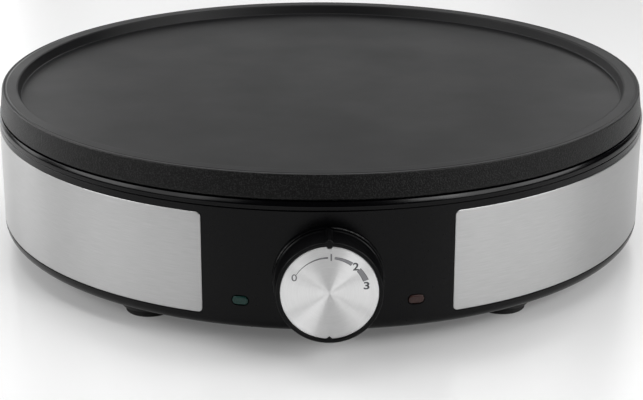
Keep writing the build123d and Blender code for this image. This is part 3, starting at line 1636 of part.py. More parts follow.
# Each lamp has one lead to its side of the thermostat and one to the element's return
green_rear = radial_plane(lamp_rear, -lamp_angle, lamp_height)
red_rear = radial_plane(lamp_rear, lamp_angle, lamp_height)
inner_x = lamp_lead_spread / 2
lamp_lead_level = stack_middle + lamp_lead_rise
lamp_routes = [
    [
        green_rear.from_local_coords((inner_x, 0, 0)),
        green_rear.from_local_coords((inner_x, 0, -lamp_lead_start)),
        (-31, -leaf_reach, lamp_lead_level),
        (leaf_end[0], -leaf_reach, lamp_lead_level),
    ],
    [
        red_rear.from_local_coords((-inner_x, 0, 0)),
        red_rear.from_local_coords((-inner_x, 0, -lamp_lead_start)),
        (31, -fixed_reach, lamp_lead_level),
        (fixed_end[0], -fixed_reach, lamp_lead_level),
    ],
    [
        green_rear.from_local_coords((-inner_x, 0, 0)),
        green_rear.from_local_coords((-inner_x, 0, -lamp_lead_start)),
        (-36, -120, 26),
        (-34, -84, 28),
        (-10, -70, 28),
        (10, -68, 30),
        (leg_x - lamp_lead_side, -76, element_tab_height),
        (leg_x - lamp_lead_side, tab_ends[1][1], element_tab_height),
    ],
    [
        red_rear.from_local_coords((inner_x, 0, 0)),
        red_rear.from_local_coords((inner_x, 0, -lamp_lead_start)),
        (36, -120, 26),
        (36, -84, 36),
        (30, -74, element_tab_height),
        (leg_x + lamp_lead_side, -76, element_tab_height),
        (leg_x + lamp_lead_side, tab_ends[1][1], element_tab_height),
    ],
]
with BuildPart() as lamp_leads:
    for route in lamp_routes:
        add(lead(route, lamp_lead_radius))
lamp_leads.part.label = "lamp_leads"
export_step(lamp_leads.part, "parts/lamp_leads.step")
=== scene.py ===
# %% [markdown]
# # An electric crepe maker
# A cast, coated hot plate lies on a low round housing of black plastic. A brushed steel sheet wraps each
# side, and in front sit a thermostat knob with a turned metal face and two pilot lamps. The CAD frame already
# holds every piece in its place. This lesson gives each one its finish, and remakes the pieces whose form is
# too fine for the CAD model as surfaces worked out with numpy.

# %% Load the frame
import json
import math

import bmesh
import bpy
import numpy as np
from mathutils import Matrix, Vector


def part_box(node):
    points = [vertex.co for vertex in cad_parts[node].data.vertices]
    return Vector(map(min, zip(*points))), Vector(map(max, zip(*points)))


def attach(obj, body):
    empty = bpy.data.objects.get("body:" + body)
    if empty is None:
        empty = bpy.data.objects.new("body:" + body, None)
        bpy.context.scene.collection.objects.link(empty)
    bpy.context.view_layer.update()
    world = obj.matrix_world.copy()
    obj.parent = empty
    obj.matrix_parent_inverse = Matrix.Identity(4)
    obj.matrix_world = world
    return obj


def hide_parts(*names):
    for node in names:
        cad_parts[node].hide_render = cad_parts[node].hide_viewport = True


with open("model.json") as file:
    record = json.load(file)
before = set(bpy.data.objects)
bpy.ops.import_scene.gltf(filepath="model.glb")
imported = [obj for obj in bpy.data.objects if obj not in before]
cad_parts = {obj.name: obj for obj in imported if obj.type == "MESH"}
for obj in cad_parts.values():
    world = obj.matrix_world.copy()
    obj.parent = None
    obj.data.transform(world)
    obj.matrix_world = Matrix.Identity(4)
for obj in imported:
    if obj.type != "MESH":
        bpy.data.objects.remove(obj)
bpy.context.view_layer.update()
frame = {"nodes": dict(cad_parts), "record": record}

scene = bpy.context.scene
nodes = frame["nodes"]

# %% [markdown]
# ## The camera
# Product pictures are taken with a long lens from a little above, so the near and the far side of the round
# plate keep nearly the same scale. The focal length is given in pixels of a picture of a known width, and
# turned to millimetres for a 36 mm sensor.

# %% Place the camera
PICTURE_WIDTH, FOCAL_PIXELS = 643.0, 1750.0
camera_data = bpy.data.cameras.new("camera")
camera_data.sensor_width = 36.0
camera_data.lens = FOCAL_PIXELS / PICTURE_WIDTH * camera_data.sensor_width
camera_data.clip_start = 0.01
camera = bpy.data.objects.new("camera", camera_data)
camera.location = (-0.01851, -0.85523, 0.31642)
camera.rotation_euler = [math.radians(angle) for angle in (70.4278, -0.0676, -1.2471)]
scene.collection.objects.link(camera)
scene.camera = camera
print("lens", round(camera_data.lens, 2), "mm")

# %% [markdown]
# ## Small tools for materials
# Colours are chosen as sRGB hex codes, as on any colour chart, but a shader adds up light, which is linear,
# so one function turns the first into the second. A material is a graph of nodes, and one function adds a
# node with its settings and its links, so that a graph reads as a short list. Three kinds of node return in
# nearly every graph. A Mix goes from colour A to colour B. A MapRange takes a value, the range it comes from
# and the range it is carried into. A Bump tilts the surface as a height in metres would.

# %% Colours and nodes
SPAN = (0.3, 0.7)    # nearly all values of a noise lie in this range


def linear(code):
    """The linear colour of an sRGB hex code: below 0.04045 divided by 12.92, above it a power of 2.4."""
    part = np.array([int(code[k:k + 2], 16) for k in (1, 3, 5)]) / 255
    return (*np.where(part <= 0.04045, part / 12.92, ((part + 0.055) / 1.055) ** 2.4).tolist(), 1.0)


def add(tree, kind, inputs=(), **settings):
    """Adds a shader node, sets its attributes, and fills its inputs, given in order or by name. An input is
    a value, a hex code, another node's output, or the node itself for its first output in use."""
    node = tree.nodes.new("ShaderNode" + kind)
    for name, value in settings.items():
        setattr(node, name, value)
    for socket, value in inputs.items() if isinstance(inputs, dict) else enumerate(inputs):
        if isinstance(value, bpy.types.Node):
            value = next(output for output in value.outputs if output.enabled)
        if isinstance(value, bpy.types.NodeSocket):
            tree.links.new(value, node.inputs[socket])
        else:
            node.inputs[socket].default_value = linear(value) if isinstance(value, str) else value
    return node


def new_material(name):
    """A new material with an empty node tree, and that tree."""
    material = bpy.data.materials.new(name)
    material.use_nodes = True
    material.node_tree.nodes.clear()
    return material, material.node_tree


def surface(tree, **inputs):
    """Ends a graph: inputs, named with _ for a space, go to a Principled shader, and that to the output."""
    shader = add(tree, "BsdfPrincipled", {name.replace("_", " "): value for name, value in inputs.items()})
    add(tree, "OutputMaterial", {"Surface": shader})


print("mid grey is", [round(x, 3) for x in linear("#808080")])

# %% [markdown]
# ## A finish that most small pieces share
# No real surface is one flat value: moulding, plating and handling leave it a little uneven. One noise
# field, with grains of a size given in millimetres, moves the colour between two near tones, the roughness
# between two values and the height by a few hundredths of a millimetre at most. Stretching the field along
# one axis turns grains into the fine lines of rolled or drawn metal.

# %% The shared finish
def finish(name, colours, roughness, grain_mm, bump_mm, stretch=(1, 1, 1), **inputs):
    """Noise in object coordinates, one grain = grain_mm, drives colour, roughness and height together."""
    material, tree = new_material(name)
    place = add(tree, "TexCoord").outputs["Object"]
    scale = [1000 / grain_mm / longer for longer in stretch]
    place = add(tree, "Mapping", {"Vector": place, "Scale": scale})
    grain = add(tree, "TexNoise", {"Vector": place, "Scale": 1.0, "Detail": 3.0})
    tone = add(tree, "Mix", {"Factor": grain, "A": colours[0], "B": colours[1]}, data_type="RGBA")
    gloss = add(tree, "MapRange", (grain, 0, 1, *roughness))
    bump = add(tree, "Bump", {"Height": grain, "Distance": bump_mm / 1000})
    surface(tree, Base_Color=tone, Roughness=gloss, Normal=bump, **inputs)
    return material


ALONG_Z, FLUTES = (1, 1, 12), (0.4, 0.4, 1.4)    # how many times longer a grain is along x, y and z
slot_finish = {
    # Moulded polyamide, matt from a spark-eroded mould
    "inner_plastic": finish("moulded_polyamide_black", ("#1b1b1c", "#242425"), (0.45, 0.6), 0.9, 0.01),
    # Moulded polypropylene, a little waxy
    "foot_plastic": finish("moulded_polypropylene_black", ("#060607", "#0d0d0e"), (0.4, 0.55), 0.8, 0.012,
                           Specular_IOR_Level=0.2),
    # Pressed rubber, dull and slightly dusty
    "pad_rubber": finish("pressed_rubber_black", ("#0d0d0d", "#1a1a19"), (0.75, 0.9), 0.5, 0.02, IOR=1.52),
    # Bright zinc on cold-formed screws and sheet
    "zinc_steel": finish("zinc_plated_steel", ("#b9bcc2", "#cfd1d4"), (0.25, 0.4), 0.4, 0.004, Metallic=1.0),
    # Steel tube of the heating element, blued and dulled by heat
    "element_steel": finish("heat_dulled_steel_tube", ("#5a524d", "#7d766f"), (0.4, 0.6), 2.5, 0.01,
                            Metallic=1.0),
    # Nickel on weld studs and tabs
    "terminal_steel": finish("nickel_plated_steel", ("#b5b0a6", "#cdc8bf"), (0.2, 0.35), 0.6, 0.003,
                             Metallic=1.0),
    # Steatite, pressed and fired, slightly granular
    "ceramic_white": finish("fired_steatite", ("#ded8ca", "#ebe6da"), (0.5, 0.65), 0.6, 0.015, IOR=1.6),
    # Hot-dip aluminised sheet with its soft spangle
    "dish_steel": finish("aluminised_sheet_steel", ("#a9abae", "#c6c8ca"), (0.3, 0.5), 6.0, 0.006,
                         Metallic=1.0),
    # Cold-rolled spring strip, its lines along the strip
    "copper_alloy": finish("rolled_spring_bronze", ("#a8814a", "#c79d62"), (0.3, 0.45), 0.3, 0.003, ALONG_Z,
                           Metallic=1.0),
    "bimetal": finish("rolled_bimetal_strip", ("#96907f", "#aaa495"), (0.3, 0.45), 0.3, 0.003, ALONG_Z,
                      Metallic=1.0),
    # Turned brass, slightly tarnished
    "brass_plain": finish("turned_brass", ("#b08d45", "#c7a55c"), (0.25, 0.4), 0.3, 0.003, ALONG_Z,
                          Metallic=1.0),
    # Natural polyamide of a terminal block, milky
    "block_plastic": finish("moulded_polyamide_natural", ("#d3d0c4", "#e0ddd2"), (0.4, 0.5), 1.5, 0.008,
                            Subsurface_Weight=0.15),
    # Varnished glass-fibre sleeve, its braid drawn as a fine grain
    "sleeve_fabric": finish("varnished_glass_sleeve", ("#cfc6ad", "#e6dfcb"), (0.5, 0.7), 0.5, 0.05),
    # Silicone rubber insulation in four colours
    "lead_brown": finish("silicone_lead_brown", ("#4a2a17", "#5a3520"), (0.45, 0.55), 1.2, 0.01),
    "lead_blue": finish("silicone_lead_blue", ("#1f4a86", "#2a5a9c"), (0.45, 0.55), 1.2, 0.01),
    "lead_white": finish("silicone_lead_white", ("#d2d0c8", "#dfddd6"), (0.45, 0.55), 1.2, 0.01),
    "lead_green": finish("silicone_lead_green", ("#4c7a2a", "#5f9136"), (0.45, 0.55), 1.2, 0.01),
    # Glass envelope of a neon lamp
    "lamp_glass": finish("lamp_glass", ("#e6e2da", "#f2efe8"), (0.03, 0.08), 3.0, 0.002,
                         Transmission_Weight=0.9, IOR=1.5),
    # Clear tinted polycarbonate over an unlit lamp: dark and glossy, its flutes a fine upright grain
    "green_tint": finish("tinted_polycarbonate_green", ("#000504", "#26564e"), (0.1, 0.2), 1.0, 0.03, FLUTES,
                         IOR=1.58, Specular_IOR_Level=0.15, Transmission_Weight=0.2),
    "red_tint": finish("tinted_polycarbonate_red", ("#0a0403", "#523733"), (0.1, 0.2), 1.0, 0.03, FLUTES,
                       IOR=1.58, Specular_IOR_Level=0.15, Transmission_Weight=0.2),
}
print("shared finishes", len(slot_finish))

# %% [markdown]
# ## The non-stick coating
# The plate is cast aluminium with a sprayed and baked coating. On the ground cooking surface and rim it lies
# smooth and satin, with faint clouds where the spray was a little thicker. On the cast wall it follows the
# blasted pores, with lighter specks painted into its colour as their glints, a painted sparkle. A mask by
# radius joins the two finishes.

# %% Coating with open and closed pores
WALL_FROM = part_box("hot_plate")[1].x - 0.0016    # where the rounded upper edge turns into the wall
EDGE_LINE, EDGE_DEPTH_MM = WALL_FROM - 0.0012, -0.3    # the ground top ends in a fine turned line
PORE_MM = 0.6       # real pores are 0.1 to 0.3 mm apart; drawn this coarse, they still show as grain
PORES_SHALLOW, PORES_DEEP = 0.00001, 0.0002    # in metres: on the ground faces and on the blasted wall
CLOUD_MM = 45


def coating():
    """Grain PORE_MM wide; its depth and its painted glint specks step up on the wall. Clouds CLOUD_MM wide
    move the gloss.
    """
    material, tree = new_material("sprayed_non_stick_coating")
    place = add(tree, "TexCoord").outputs["Object"]
    axes = add(tree, "SeparateXYZ", [place]).outputs
    flat = add(tree, "CombineXYZ", {"X": axes["X"], "Y": axes["Y"]})
    radius = add(tree, "VectorMath", [flat], operation="LENGTH")
    wall = add(tree, "MapRange", (radius, WALL_FROM - 0.0004, WALL_FROM + 0.0002, 0, 1))
    grain = add(tree, "TexNoise", {"Vector": place, "Scale": 1000 / PORE_MM, "Detail": 1.0})
    sweep = add(tree, "TexNoise", {"Vector": place, "Scale": 1000 / CLOUD_MM, "Detail": 4.0})
    smooth = add(tree, "Mix", {"Factor": sweep, "A": "#0d0d0e", "B": "#141415"}, data_type="RGBA")
    # Painted glints: lighter specks in the wall's colour stand for the sparkle of light off the pores
    painted_glint_specks = add(tree, "MapRange", (grain, 0.48, 0.66, 0, 1))
    glint_painted_tone = add(tree, "Mix", {"Factor": painted_glint_specks, "A": "#000000", "B": "#202020"}, data_type="RGBA")
    tone = add(tree, "Mix", {"Factor": wall, "A": smooth, "B": glint_painted_tone}, data_type="RGBA")
    satin = add(tree, "MapRange", (sweep, *SPAN, 0.4, 0.49))
    gloss = add(tree, "Mix", {"Factor": wall, "A": satin, "B": 0.4})
    away = add(tree, "Math", (radius, EDGE_LINE), operation="SUBTRACT")
    away = add(tree, "Math", [away], operation="ABSOLUTE")
    line = add(tree, "MapRange", (away, 0.0002, 0.0008, 1, 0))
    depth = add(tree, "MapRange", (wall, 0, 1, PORES_SHALLOW, PORES_DEEP))
    pores = add(tree, "Bump", {"Height": grain, "Distance": depth})
    bump = add(tree, "Bump", {"Height": line, "Distance": EDGE_DEPTH_MM / 1000, "Normal": pores})
    surface(tree, Base_Color=tone, Roughness=gloss, Normal=bump, IOR=1.5, Specular_IOR_Level=0.2)
    return material


slot_finish["coated_plate"] = coating()
print("made", slot_finish["coated_plate"].name)

# %% [markdown]
# ## Polished black plastic
# The housing is moulded ABS from a polished tool: a weak but clear reflection over deep black, with the very
# shallow waves that shrinkage leaves in a long wall. The waves are tens of millimetres long and only
# hundredths high, enough to bend a reflection.

# %% Gloss black ABS
MOULD_GRAIN_MM, MOULD_GRAIN_HIGH_MM = 0.7, 0.004


def gloss_black(name, roughness, wave_mm, wave_high_mm, specular=0.13):
    """Two noises in object coordinates: shrink waves and a grain give height, the grain tone and gloss."""
    material, tree = new_material(name)
    place = add(tree, "TexCoord").outputs["Object"]
    waves = add(tree, "TexNoise", {"Vector": place, "Scale": 1000 / wave_mm, "Detail": 1.0})
    grain = add(tree, "TexNoise", {"Vector": place, "Scale": 1000 / MOULD_GRAIN_MM, "Detail": 2.0})
    tone = add(tree, "Mix", {"Factor": grain, "A": "#020203", "B": "#050506"}, data_type="RGBA")
    gloss = add(tree, "MapRange", (grain, 0, 1, roughness, roughness + 0.08))
    bump = add(tree, "Bump", {"Height": waves, "Distance": wave_high_mm / 1000})
    bump = add(tree, "Bump", {"Height": grain, "Distance": MOULD_GRAIN_HIGH_MM / 1000, "Normal": bump})
    surface(tree, Base_Color=tone, Roughness=gloss, Normal=bump, IOR=1.53, Specular_IOR_Level=specular)
    return material


# The housing as it leaves the tool, the knob matted for the fingers, and the bezel's lip rubbed bright
slot_finish["housing_black"] = gloss_black("polished_abs_black", 0.22, 40.0, 0.05)
knob_plastic = gloss_black("satin_abs_black", 0.3, 15.0, 0.01)
lip_plastic = gloss_black("buffed_abs_black", 0.14, 40.0, 0.02, 0.17)
print("made", slot_finish["housing_black"].name, knob_plastic.name, lip_plastic.name)

# %% [markdown]
# ## Brushed steel
# A brush drags abrasive along the sheet and leaves long parallel scratches. Along them the metal is nearly a
# mirror, across them it scatters, so a highlight is pulled out at right angles to the brushing. The sheet's
# UV map is in millimetres, u across the scratches and v along them, and the shader's tangent follows u.

# %% Brushed stainless sheet
SCRATCH_MM = 0.35   # real scratches are finer than 0.1 mm; drawn this wide, their streaks show in a picture
SCRATCH_LENGTH_MM, SCRATCH_DEPTH_MM = 10.0, 0.001


def brushed_steel():
    """Noise in UV millimetres, one scratch wide and one scratch long, moves tone, roughness and height."""
    material, tree = new_material("brushed_stainless_steel")
    place = add(tree, "UVMap", uv_map="UVMap")
    scale = (1 / SCRATCH_MM, 1 / SCRATCH_LENGTH_MM, 1)
    place = add(tree, "Mapping", {"Vector": place, "Scale": scale})
    streak = add(tree, "TexNoise", {"Vector": place, "Scale": 1.0, "Detail": 4.0})
    streak = add(tree, "MapRange", (streak, *SPAN, 0, 1))
    tone = add(tree, "Mix", {"Factor": streak, "A": "#adadad", "B": "#b7b7b7"}, data_type="RGBA")
    gloss = add(tree, "MapRange", (streak, 0, 1, 0.34, 0.4))
    bump = add(tree, "Bump", {"Height": streak, "Distance": SCRATCH_DEPTH_MM / 1000})
    along_u = add(tree, "Tangent", direction_type="UV_MAP", uv_map="UVMap")
    surface(tree, Base_Color=tone, Roughness=gloss, Normal=bump, Tangent=along_u, Metallic=1.0,
            Anisotropic=0.7)
    return material


slot_finish["panel_steel"] = brushed_steel()
print("made", slot_finish["panel_steel"].name)

# %% [markdown]
# ## Turned aluminium
# The knob's face is an aluminium blank faced on a lathe, so its scratches are circles about the knob's axis.
# A point on the disc throws light back only within the plane through the axis and itself, so lamps left and
# right show as two bright cones, with dark wedges above and below. The scratches are noise of radius and
# direction: direction as a unit vector has no seam, and a small share of it keeps each circle nearly whole.

# %% Turned disc face
KNOB_AXIS_Z = (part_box("knob_disc")[0].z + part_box("knob_disc")[1].z) / 2
GROOVE_MM = 0.25    # a facing cut's grooves are about 0.1 mm apart; drawn wider to be seen
GROOVE_DEPTH_MM = 0.00025
ROUND_SHARE = 1.5   # how much the noise changes on the way round, where it is 1 for each groove outwards


def turned_aluminium(name, colours, roughness, anisotropic):
    """Noise at radius / GROOVE_MM and direction x ROUND_SHARE moves tone, roughness and height in circles."""
    material, tree = new_material(name)
    place = add(tree, "TexCoord").outputs["Object"]
    place = add(tree, "Mapping", {"Vector": place, "Location": (0, 0, -KNOB_AXIS_Z)})
    axes = add(tree, "SeparateXYZ", [place]).outputs
    flat = add(tree, "CombineXYZ", {"X": axes["X"], "Z": axes["Z"]})
    radius = add(tree, "VectorMath", [flat], operation="LENGTH")
    way = add(tree, "VectorMath", [flat], operation="NORMALIZE")
    way = add(tree, "Mapping", {"Vector": way, "Scale": (ROUND_SHARE,) * 3})
    rings = add(tree, "Math", (radius, 1000 / GROOVE_MM), operation="MULTIPLY")
    rings = add(tree, "CombineXYZ", {"Y": rings})
    place = add(tree, "VectorMath", (way, rings), operation="ADD")
    groove = add(tree, "TexNoise", {"Vector": place, "Scale": 1.0, "Detail": 2.0})
    streak = add(tree, "MapRange", (groove, *SPAN, 0, 1))
    tone = add(tree, "Mix", {"Factor": streak, "A": colours[0], "B": colours[1]}, data_type="RGBA")
    gloss = add(tree, "MapRange", (streak, 0, 1, *roughness))
    bump = add(tree, "Bump", {"Height": groove, "Distance": GROOVE_DEPTH_MM / 1000})
    along_u = add(tree, "Tangent", direction_type="UV_MAP", uv_map="UVMap")
    surface(tree, Base_Color=tone, Roughness=gloss, Normal=bump, Tangent=along_u, Metallic=1.0,
            Anisotropic=anisotropic)
    return material


slot_finish["dial_metal"] = turned_aluminium("turned_aluminium", ("#e5e5e5", "#ededed"), (0.31, 0.37), 1.0)
cut_edge = turned_aluminium("diamond_cut_edge", ("#ececec", "#f4f4f4"), (0.35, 0.45), 0.0)
print("made", slot_finish["dial_metal"].name, "about z =", round(KNOB_AXIS_Z * 1000, 2), "mm")

# %% [markdown]
# ## Printing ink
# The dial's scale is screen printed in a grey ink, darker along its outline. The ribbons' UV map holds the
# distance from their edge in millimetres, so their outline follows their shape; the numerals' map is zero, so
# they take the outline tone all over.

# %% Dial ink
SCREEN_MM = 0.25    # pitch of the printing screen
OUTLINE_FROM, OUTLINE_TO = 0.16, 0.24    # distance from the edge, in mm, over which the outline fades


def dial_ink(name, edge, body):
    """Dark near an edge, lighter inside, with the mesh of the screen as a faint grain in both."""
    material, tree = new_material(name)
    inset = add(tree, "SeparateXYZ", [add(tree, "UVMap", uv_map="UVMap")]).outputs["Y"]
    place = add(tree, "TexCoord").outputs["Object"]
    mesh = add(tree, "TexNoise", {"Vector": place, "Scale": 1000 / SCREEN_MM, "Detail": 1.0})
    line = add(tree, "Mix", {"Factor": mesh, "A": edge[0], "B": edge[1]}, data_type="RGBA")
    fill = add(tree, "Mix", {"Factor": mesh, "A": body[0], "B": body[1]}, data_type="RGBA")
    inside = add(tree, "MapRange", (inset, OUTLINE_FROM, OUTLINE_TO, 0, 1))
    tone = add(tree, "Mix", {"Factor": inside, "A": line, "B": fill}, data_type="RGBA")
    surface(tree, Base_Color=tone, Roughness=0.5, IOR=1.5)
    return material


INK_BODY = ("#828285", "#8e8e91")
ink = dial_ink("screen_printed_ink", ("#404043", "#4c4c4f"), INK_BODY)
thin_ink = dial_ink("thinly_printed_ink", ("#68686b", "#747477"), INK_BODY)
print("made", ink.name, thin_ink.name)

# %% [markdown]
# ## Every CAD node gets its finish
# The record names the slot of each node, and the slots are the finishes above.

# %% Hand out the finishes
for part in frame["record"]["subparts"]:
    name = part.get("node", part.get("name"))
    if name in nodes:
        nodes[name].data.materials.clear()
        nodes[name].data.materials.append(slot_finish[part["material_slot"]])
print("dressed", sum(len(node.data.materials) == 1 for node in nodes.values()), "nodes")

# %% [markdown]
# ## From a grid of points to a piece
# Every new surface is a grid of points, rows by columns, computed as one array. Neighbouring rows and columns
# span the faces. A section that is a loop closes on itself, and at a pole a whole row falls in one point, so
# doubles are merged and the faces are turned outwards at the end. Sizes are written in millimetres.

# %% Grid to mesh
def grid(points, uv=None, loop=False):
    """Points (rows, columns, 3) in mm, with a UV pair each; loop joins the last column to the first."""
    if uv is None:
        uv = np.zeros(points.shape[:2] + (2,))
    rows, columns = points.shape[:2]
    index = np.arange(rows * columns).reshape(rows, columns)
    if loop:
        index = np.hstack([index, index[:, :1]])
    quads = np.stack([index[:-1, :-1], index[:-1, 1:], index[1:, 1:], index[1:, :-1]], -1)
    return points.reshape(-1, 3) / 1000, quads.reshape(-1, 4), uv.reshape(-1, 2)


def piece(name, grids, material, body, replaced=(), sharp=35.0):
    """Joins grids into one mesh object, merges doubles, turns faces outwards, and rides it on its body."""
    starts = np.cumsum([0] + [len(g[0]) for g in grids])
    mesh = bpy.data.meshes.new(name)
    mesh.from_pydata(np.vstack([g[0] for g in grids]).tolist(), [],
                     np.vstack([g[1] + start for g, start in zip(grids, starts)]).tolist())
    corner = np.zeros(len(mesh.loops), int)
    mesh.loops.foreach_get("vertex_index", corner)
    mesh.uv_layers.new(name="UVMap").data.foreach_set("uv", np.vstack([g[2] for g in grids])[corner].ravel())
    work = bmesh.new()
    work.from_mesh(mesh)
    bmesh.ops.remove_doubles(work, verts=work.verts, dist=2e-6)
    bmesh.ops.dissolve_degenerate(work, edges=work.edges, dist=1e-6)
    bmesh.ops.recalc_face_normals(work, faces=work.faces)
    open_edges = sum(len(edge.link_faces) != 2 for edge in work.edges)
    work.to_mesh(mesh)
    work.free()
    mesh.shade_smooth()
    mesh.set_sharp_from_angle(angle=math.radians(sharp))
    mesh.materials.append(material)
    new = bpy.data.objects.new(name, mesh)
    scene.collection.objects.link(new)
    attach(new, body)
    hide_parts(*replaced)
    print(f"{name}: {len(mesh.polygons)} faces, {open_edges} open edges")
    return new


def second_finish(made, material, chosen):
    """Gives a material to the faces of a piece whose centre (x, y, z) in mm is chosen."""
    made.data.materials.append(material)
    centre = np.zeros(len(made.data.polygons) * 3)
    made.data.polygons.foreach_get("center", centre)
    faces = chosen(*centre.reshape(-1, 3).T * 1000)
    made.data.polygons.foreach_set("material_index", faces.astype(np.int32))
    print(f"{made.name}: {int(faces.sum())} faces in {material.name}")


def corners_of(node):
    """The low and the high corner of a CAD node's box, in mm."""
    return [1000 * np.array(corner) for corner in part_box(node)]


# %% [markdown]
# ## The steel side panels
# Each panel is 0.5 mm stainless sheet, cut with rounded corners, brushed lengthwise and rolled to the
# housing's radius, its cut edge slightly rounded. As a surface: a thin closed section, walked along the arc.
# Near both ends the section gets lower, which rounds the corners, and thinner, which rounds the end. Both
# long edges roll over a little, as blanked sheet does, and that roll catches the light from above as a
# bright line. Bent tabs along both long edges hold the real sheet in slots of the wall.

# %% Panels
panel_low, panel_high = corners_of("right_panel")
PANEL_FROM, PANEL_TO = 19.9, 160.0    # degrees from the front
WALL_RADIUS = panel_high[1] / math.cos(math.radians(180 - PANEL_TO))
PANEL_LOW, PANEL_HIGH = panel_low[2], panel_high[2]
PANEL_ARC = np.radians([PANEL_FROM, PANEL_TO])
PANEL_THICK, PANEL_CORNER, PANEL_ROLL = 0.5, 2.2, 0.55
print("panel radius", round(WALL_RADIUS, 2), "height", round(PANEL_LOW, 2), "to", round(PANEL_HIGH, 2))


def sheet_grid(side):
    """Near an end, half height less r - sqrt(r^2 - d^2); at the end, half thickness sqrt(e^2 - d^2)."""
    arc = WALL_RADIUS * (PANEL_ARC[1] - PANEL_ARC[0])
    bend = PANEL_CORNER * (1 - np.cos(np.linspace(0, math.pi / 2, 13)))
    along = np.concatenate([bend, np.linspace(PANEL_CORNER, arc - PANEL_CORNER, 281)[1:-1], arc - bend[::-1]])
    inset = np.minimum(along, arc - along)
    short = np.maximum(PANEL_CORNER - inset, 0)
    half_height = (PANEL_HIGH - PANEL_LOW) / 2 - PANEL_CORNER + np.sqrt(PANEL_CORNER ** 2 - short ** 2)
    edge = PANEL_THICK / 2
    thin = np.sqrt(edge ** 2 - np.maximum(edge - inset, 0) ** 2)
    rows, turn = np.linspace(-1, 1, 9), np.linspace(0, math.pi, 9)[1:-1]
    out = np.concatenate([np.ones(9), np.cos(turn), -np.ones(9), -np.cos(turn)])
    level = np.concatenate([rows, np.ones(7), rows[::-1], -np.ones(7)])
    lip = np.concatenate([np.zeros(9), np.sin(turn), np.zeros(9), -np.sin(turn)])
    radius = WALL_RADIUS - edge + out * thin[:, None]
    height = (PANEL_LOW + PANEL_HIGH) / 2 + level * (half_height - PANEL_ROLL)[:, None] + lip * PANEL_ROLL
    angle = (PANEL_ARC[0] + along / WALL_RADIUS)[:, None]
    points = np.stack([side * radius * np.sin(angle), -radius * np.cos(angle), height], -1)
    return grid(points, np.stack([height, along[:, None] + 0 * height], -1), loop=True)


for side, name in ((1, "right_panel"), (-1, "left_panel")):
    piece(name + "_sheet", [sheet_grid(side)], slot_finish["panel_steel"], "base", [name],
          60.0)


# %% [markdown]
# ## Profiles and the lathe
# A turned piece is a profile of radius against reach, carried round an axis. The profile is written as
# corners, each with a radius, because no moulded or machined corner is perfectly sharp, and the thin
# highlight on that rounding is what makes an edge look real.

# %% Rounded corners and turning
def rounded(corners, radii, steps=7):
    """Corners become arcs: tangent length r / tan(half angle), centre r / sin(half) along the bisector."""
    corners, radii = np.array(corners, float), np.array(radii, float)[:, None]
    back, ahead = np.roll(corners, 1, 0) - corners, np.roll(corners, -1, 0) - corners
    back /= np.linalg.norm(back, axis=1, keepdims=True)
    ahead /= np.linalg.norm(ahead, axis=1, keepdims=True)
    half = np.arccos(np.clip((back * ahead).sum(1), -1, 1))[:, None] / 2
    middle = (back + ahead) / np.linalg.norm(back + ahead, axis=1, keepdims=True)
    centre = corners + middle * radii / np.sin(half)
    tangent = radii / np.tan(half)
    start, end = corners + back * tangent - centre, corners + ahead * tangent - centre
    part, sweep = np.linspace(0, 1, steps), math.pi - 2 * half
    first, second = np.sin((1 - part) * sweep) / np.sin(sweep), np.sin(part * sweep) / np.sin(sweep)
    arcs = centre[:, None] + first[..., None] * start[:, None] + second[..., None] * end[:, None]
    return arcs.reshape(-1, 2)


UV_RADIUS = 20    # v runs round a turned piece in millimetres on a circle of this radius


def turned(radius, reach, angles, centre, axis, up=(0, 0, 1)):
    """Each (radius, reach) goes to centre + reach axis + radius (up cos a + side sin a); u runs outwards."""
    axis, up = np.array(axis, float), np.array(up, float)
    side = np.cross(up, axis)
    points = np.array(centre) + reach[..., None] * axis + radius[..., None] * (
        np.cos(angles)[:, None] * up + np.sin(angles)[:, None] * side)
    turns = UV_RADIUS * angles + 0 * radius
    return points, np.stack([radius + reach, turns], -1)


square = rounded([(0, 0), (4, 0), (4, 4), (0, 4)], [0, 1, 1, 1])
print("a rounded square has", len(square), "points, first", square[0])

# %% [markdown]
# ## The bezel ring
# A moulded ring closes the gap between plate and housing. Its lip is a steep flank that rounds over into the
# flat top. Rubbed bright by every wipe of a cloth, it shows as one light line right under the plate, and a
# fine chamfer makes the dark joint below it. Such a line breaks up on coarse facets, so the ring is turned
# again here with a facet for each degree, and the faces of the lip get the buffed finish.

# %% Bezel ring
bezel_low, bezel_high = corners_of("bezel_ring")
RING_OUT, RING_TOP = bezel_high[0] - 0.03, bezel_high[2]    # a hair inside the solid's own outline
JOINT, SPIGOT_END = RING_TOP - 3.85, bezel_low[2]
RING_IN, TOP_UNDER = RING_OUT - 6.6, RING_TOP - 2.4
SPIGOT_IN, SPIGOT_OUT = RING_OUT - 5.05, RING_OUT - 2.85
FLANK_DROP, FLANK_IN, LIP_DROP, LIP_IN = 1.7, 0.85, 2.4, 1.7
section = rounded(
    [(RING_OUT - 0.6, JOINT), (RING_OUT, JOINT + 0.3), (RING_OUT, RING_TOP - FLANK_DROP),
     (RING_OUT - FLANK_IN, RING_TOP), (RING_IN, RING_TOP), (RING_IN, TOP_UNDER), (SPIGOT_IN, TOP_UNDER),
     (SPIGOT_IN, SPIGOT_END), (SPIGOT_OUT, SPIGOT_END), (SPIGOT_OUT, JOINT)],
    [0.1, 0.2, 2.6, 0.15, 0.3, 0.1, 0.3, 0.2, 0.2, 0.1], 8)
section = np.vstack([section, section[:1]])
ring_angles = np.linspace(0, 2 * math.pi, 361)
radius, reach = section[:, :1] + 0 * ring_angles, section[:, 1:] + 0 * ring_angles
bezel = piece("bezel", [grid(*turned(radius, reach, ring_angles, (0, 0, 0), (0, 0, 1), (0, -1, 0)))],
              slot_finish["housing_black"], "base", ["bezel_ring"], 50.0)
second_finish(bezel, lip_plastic,
              lambda x, y, z: (z > RING_TOP - LIP_DROP) & (np.hypot(x, y) > RING_OUT - LIP_IN))

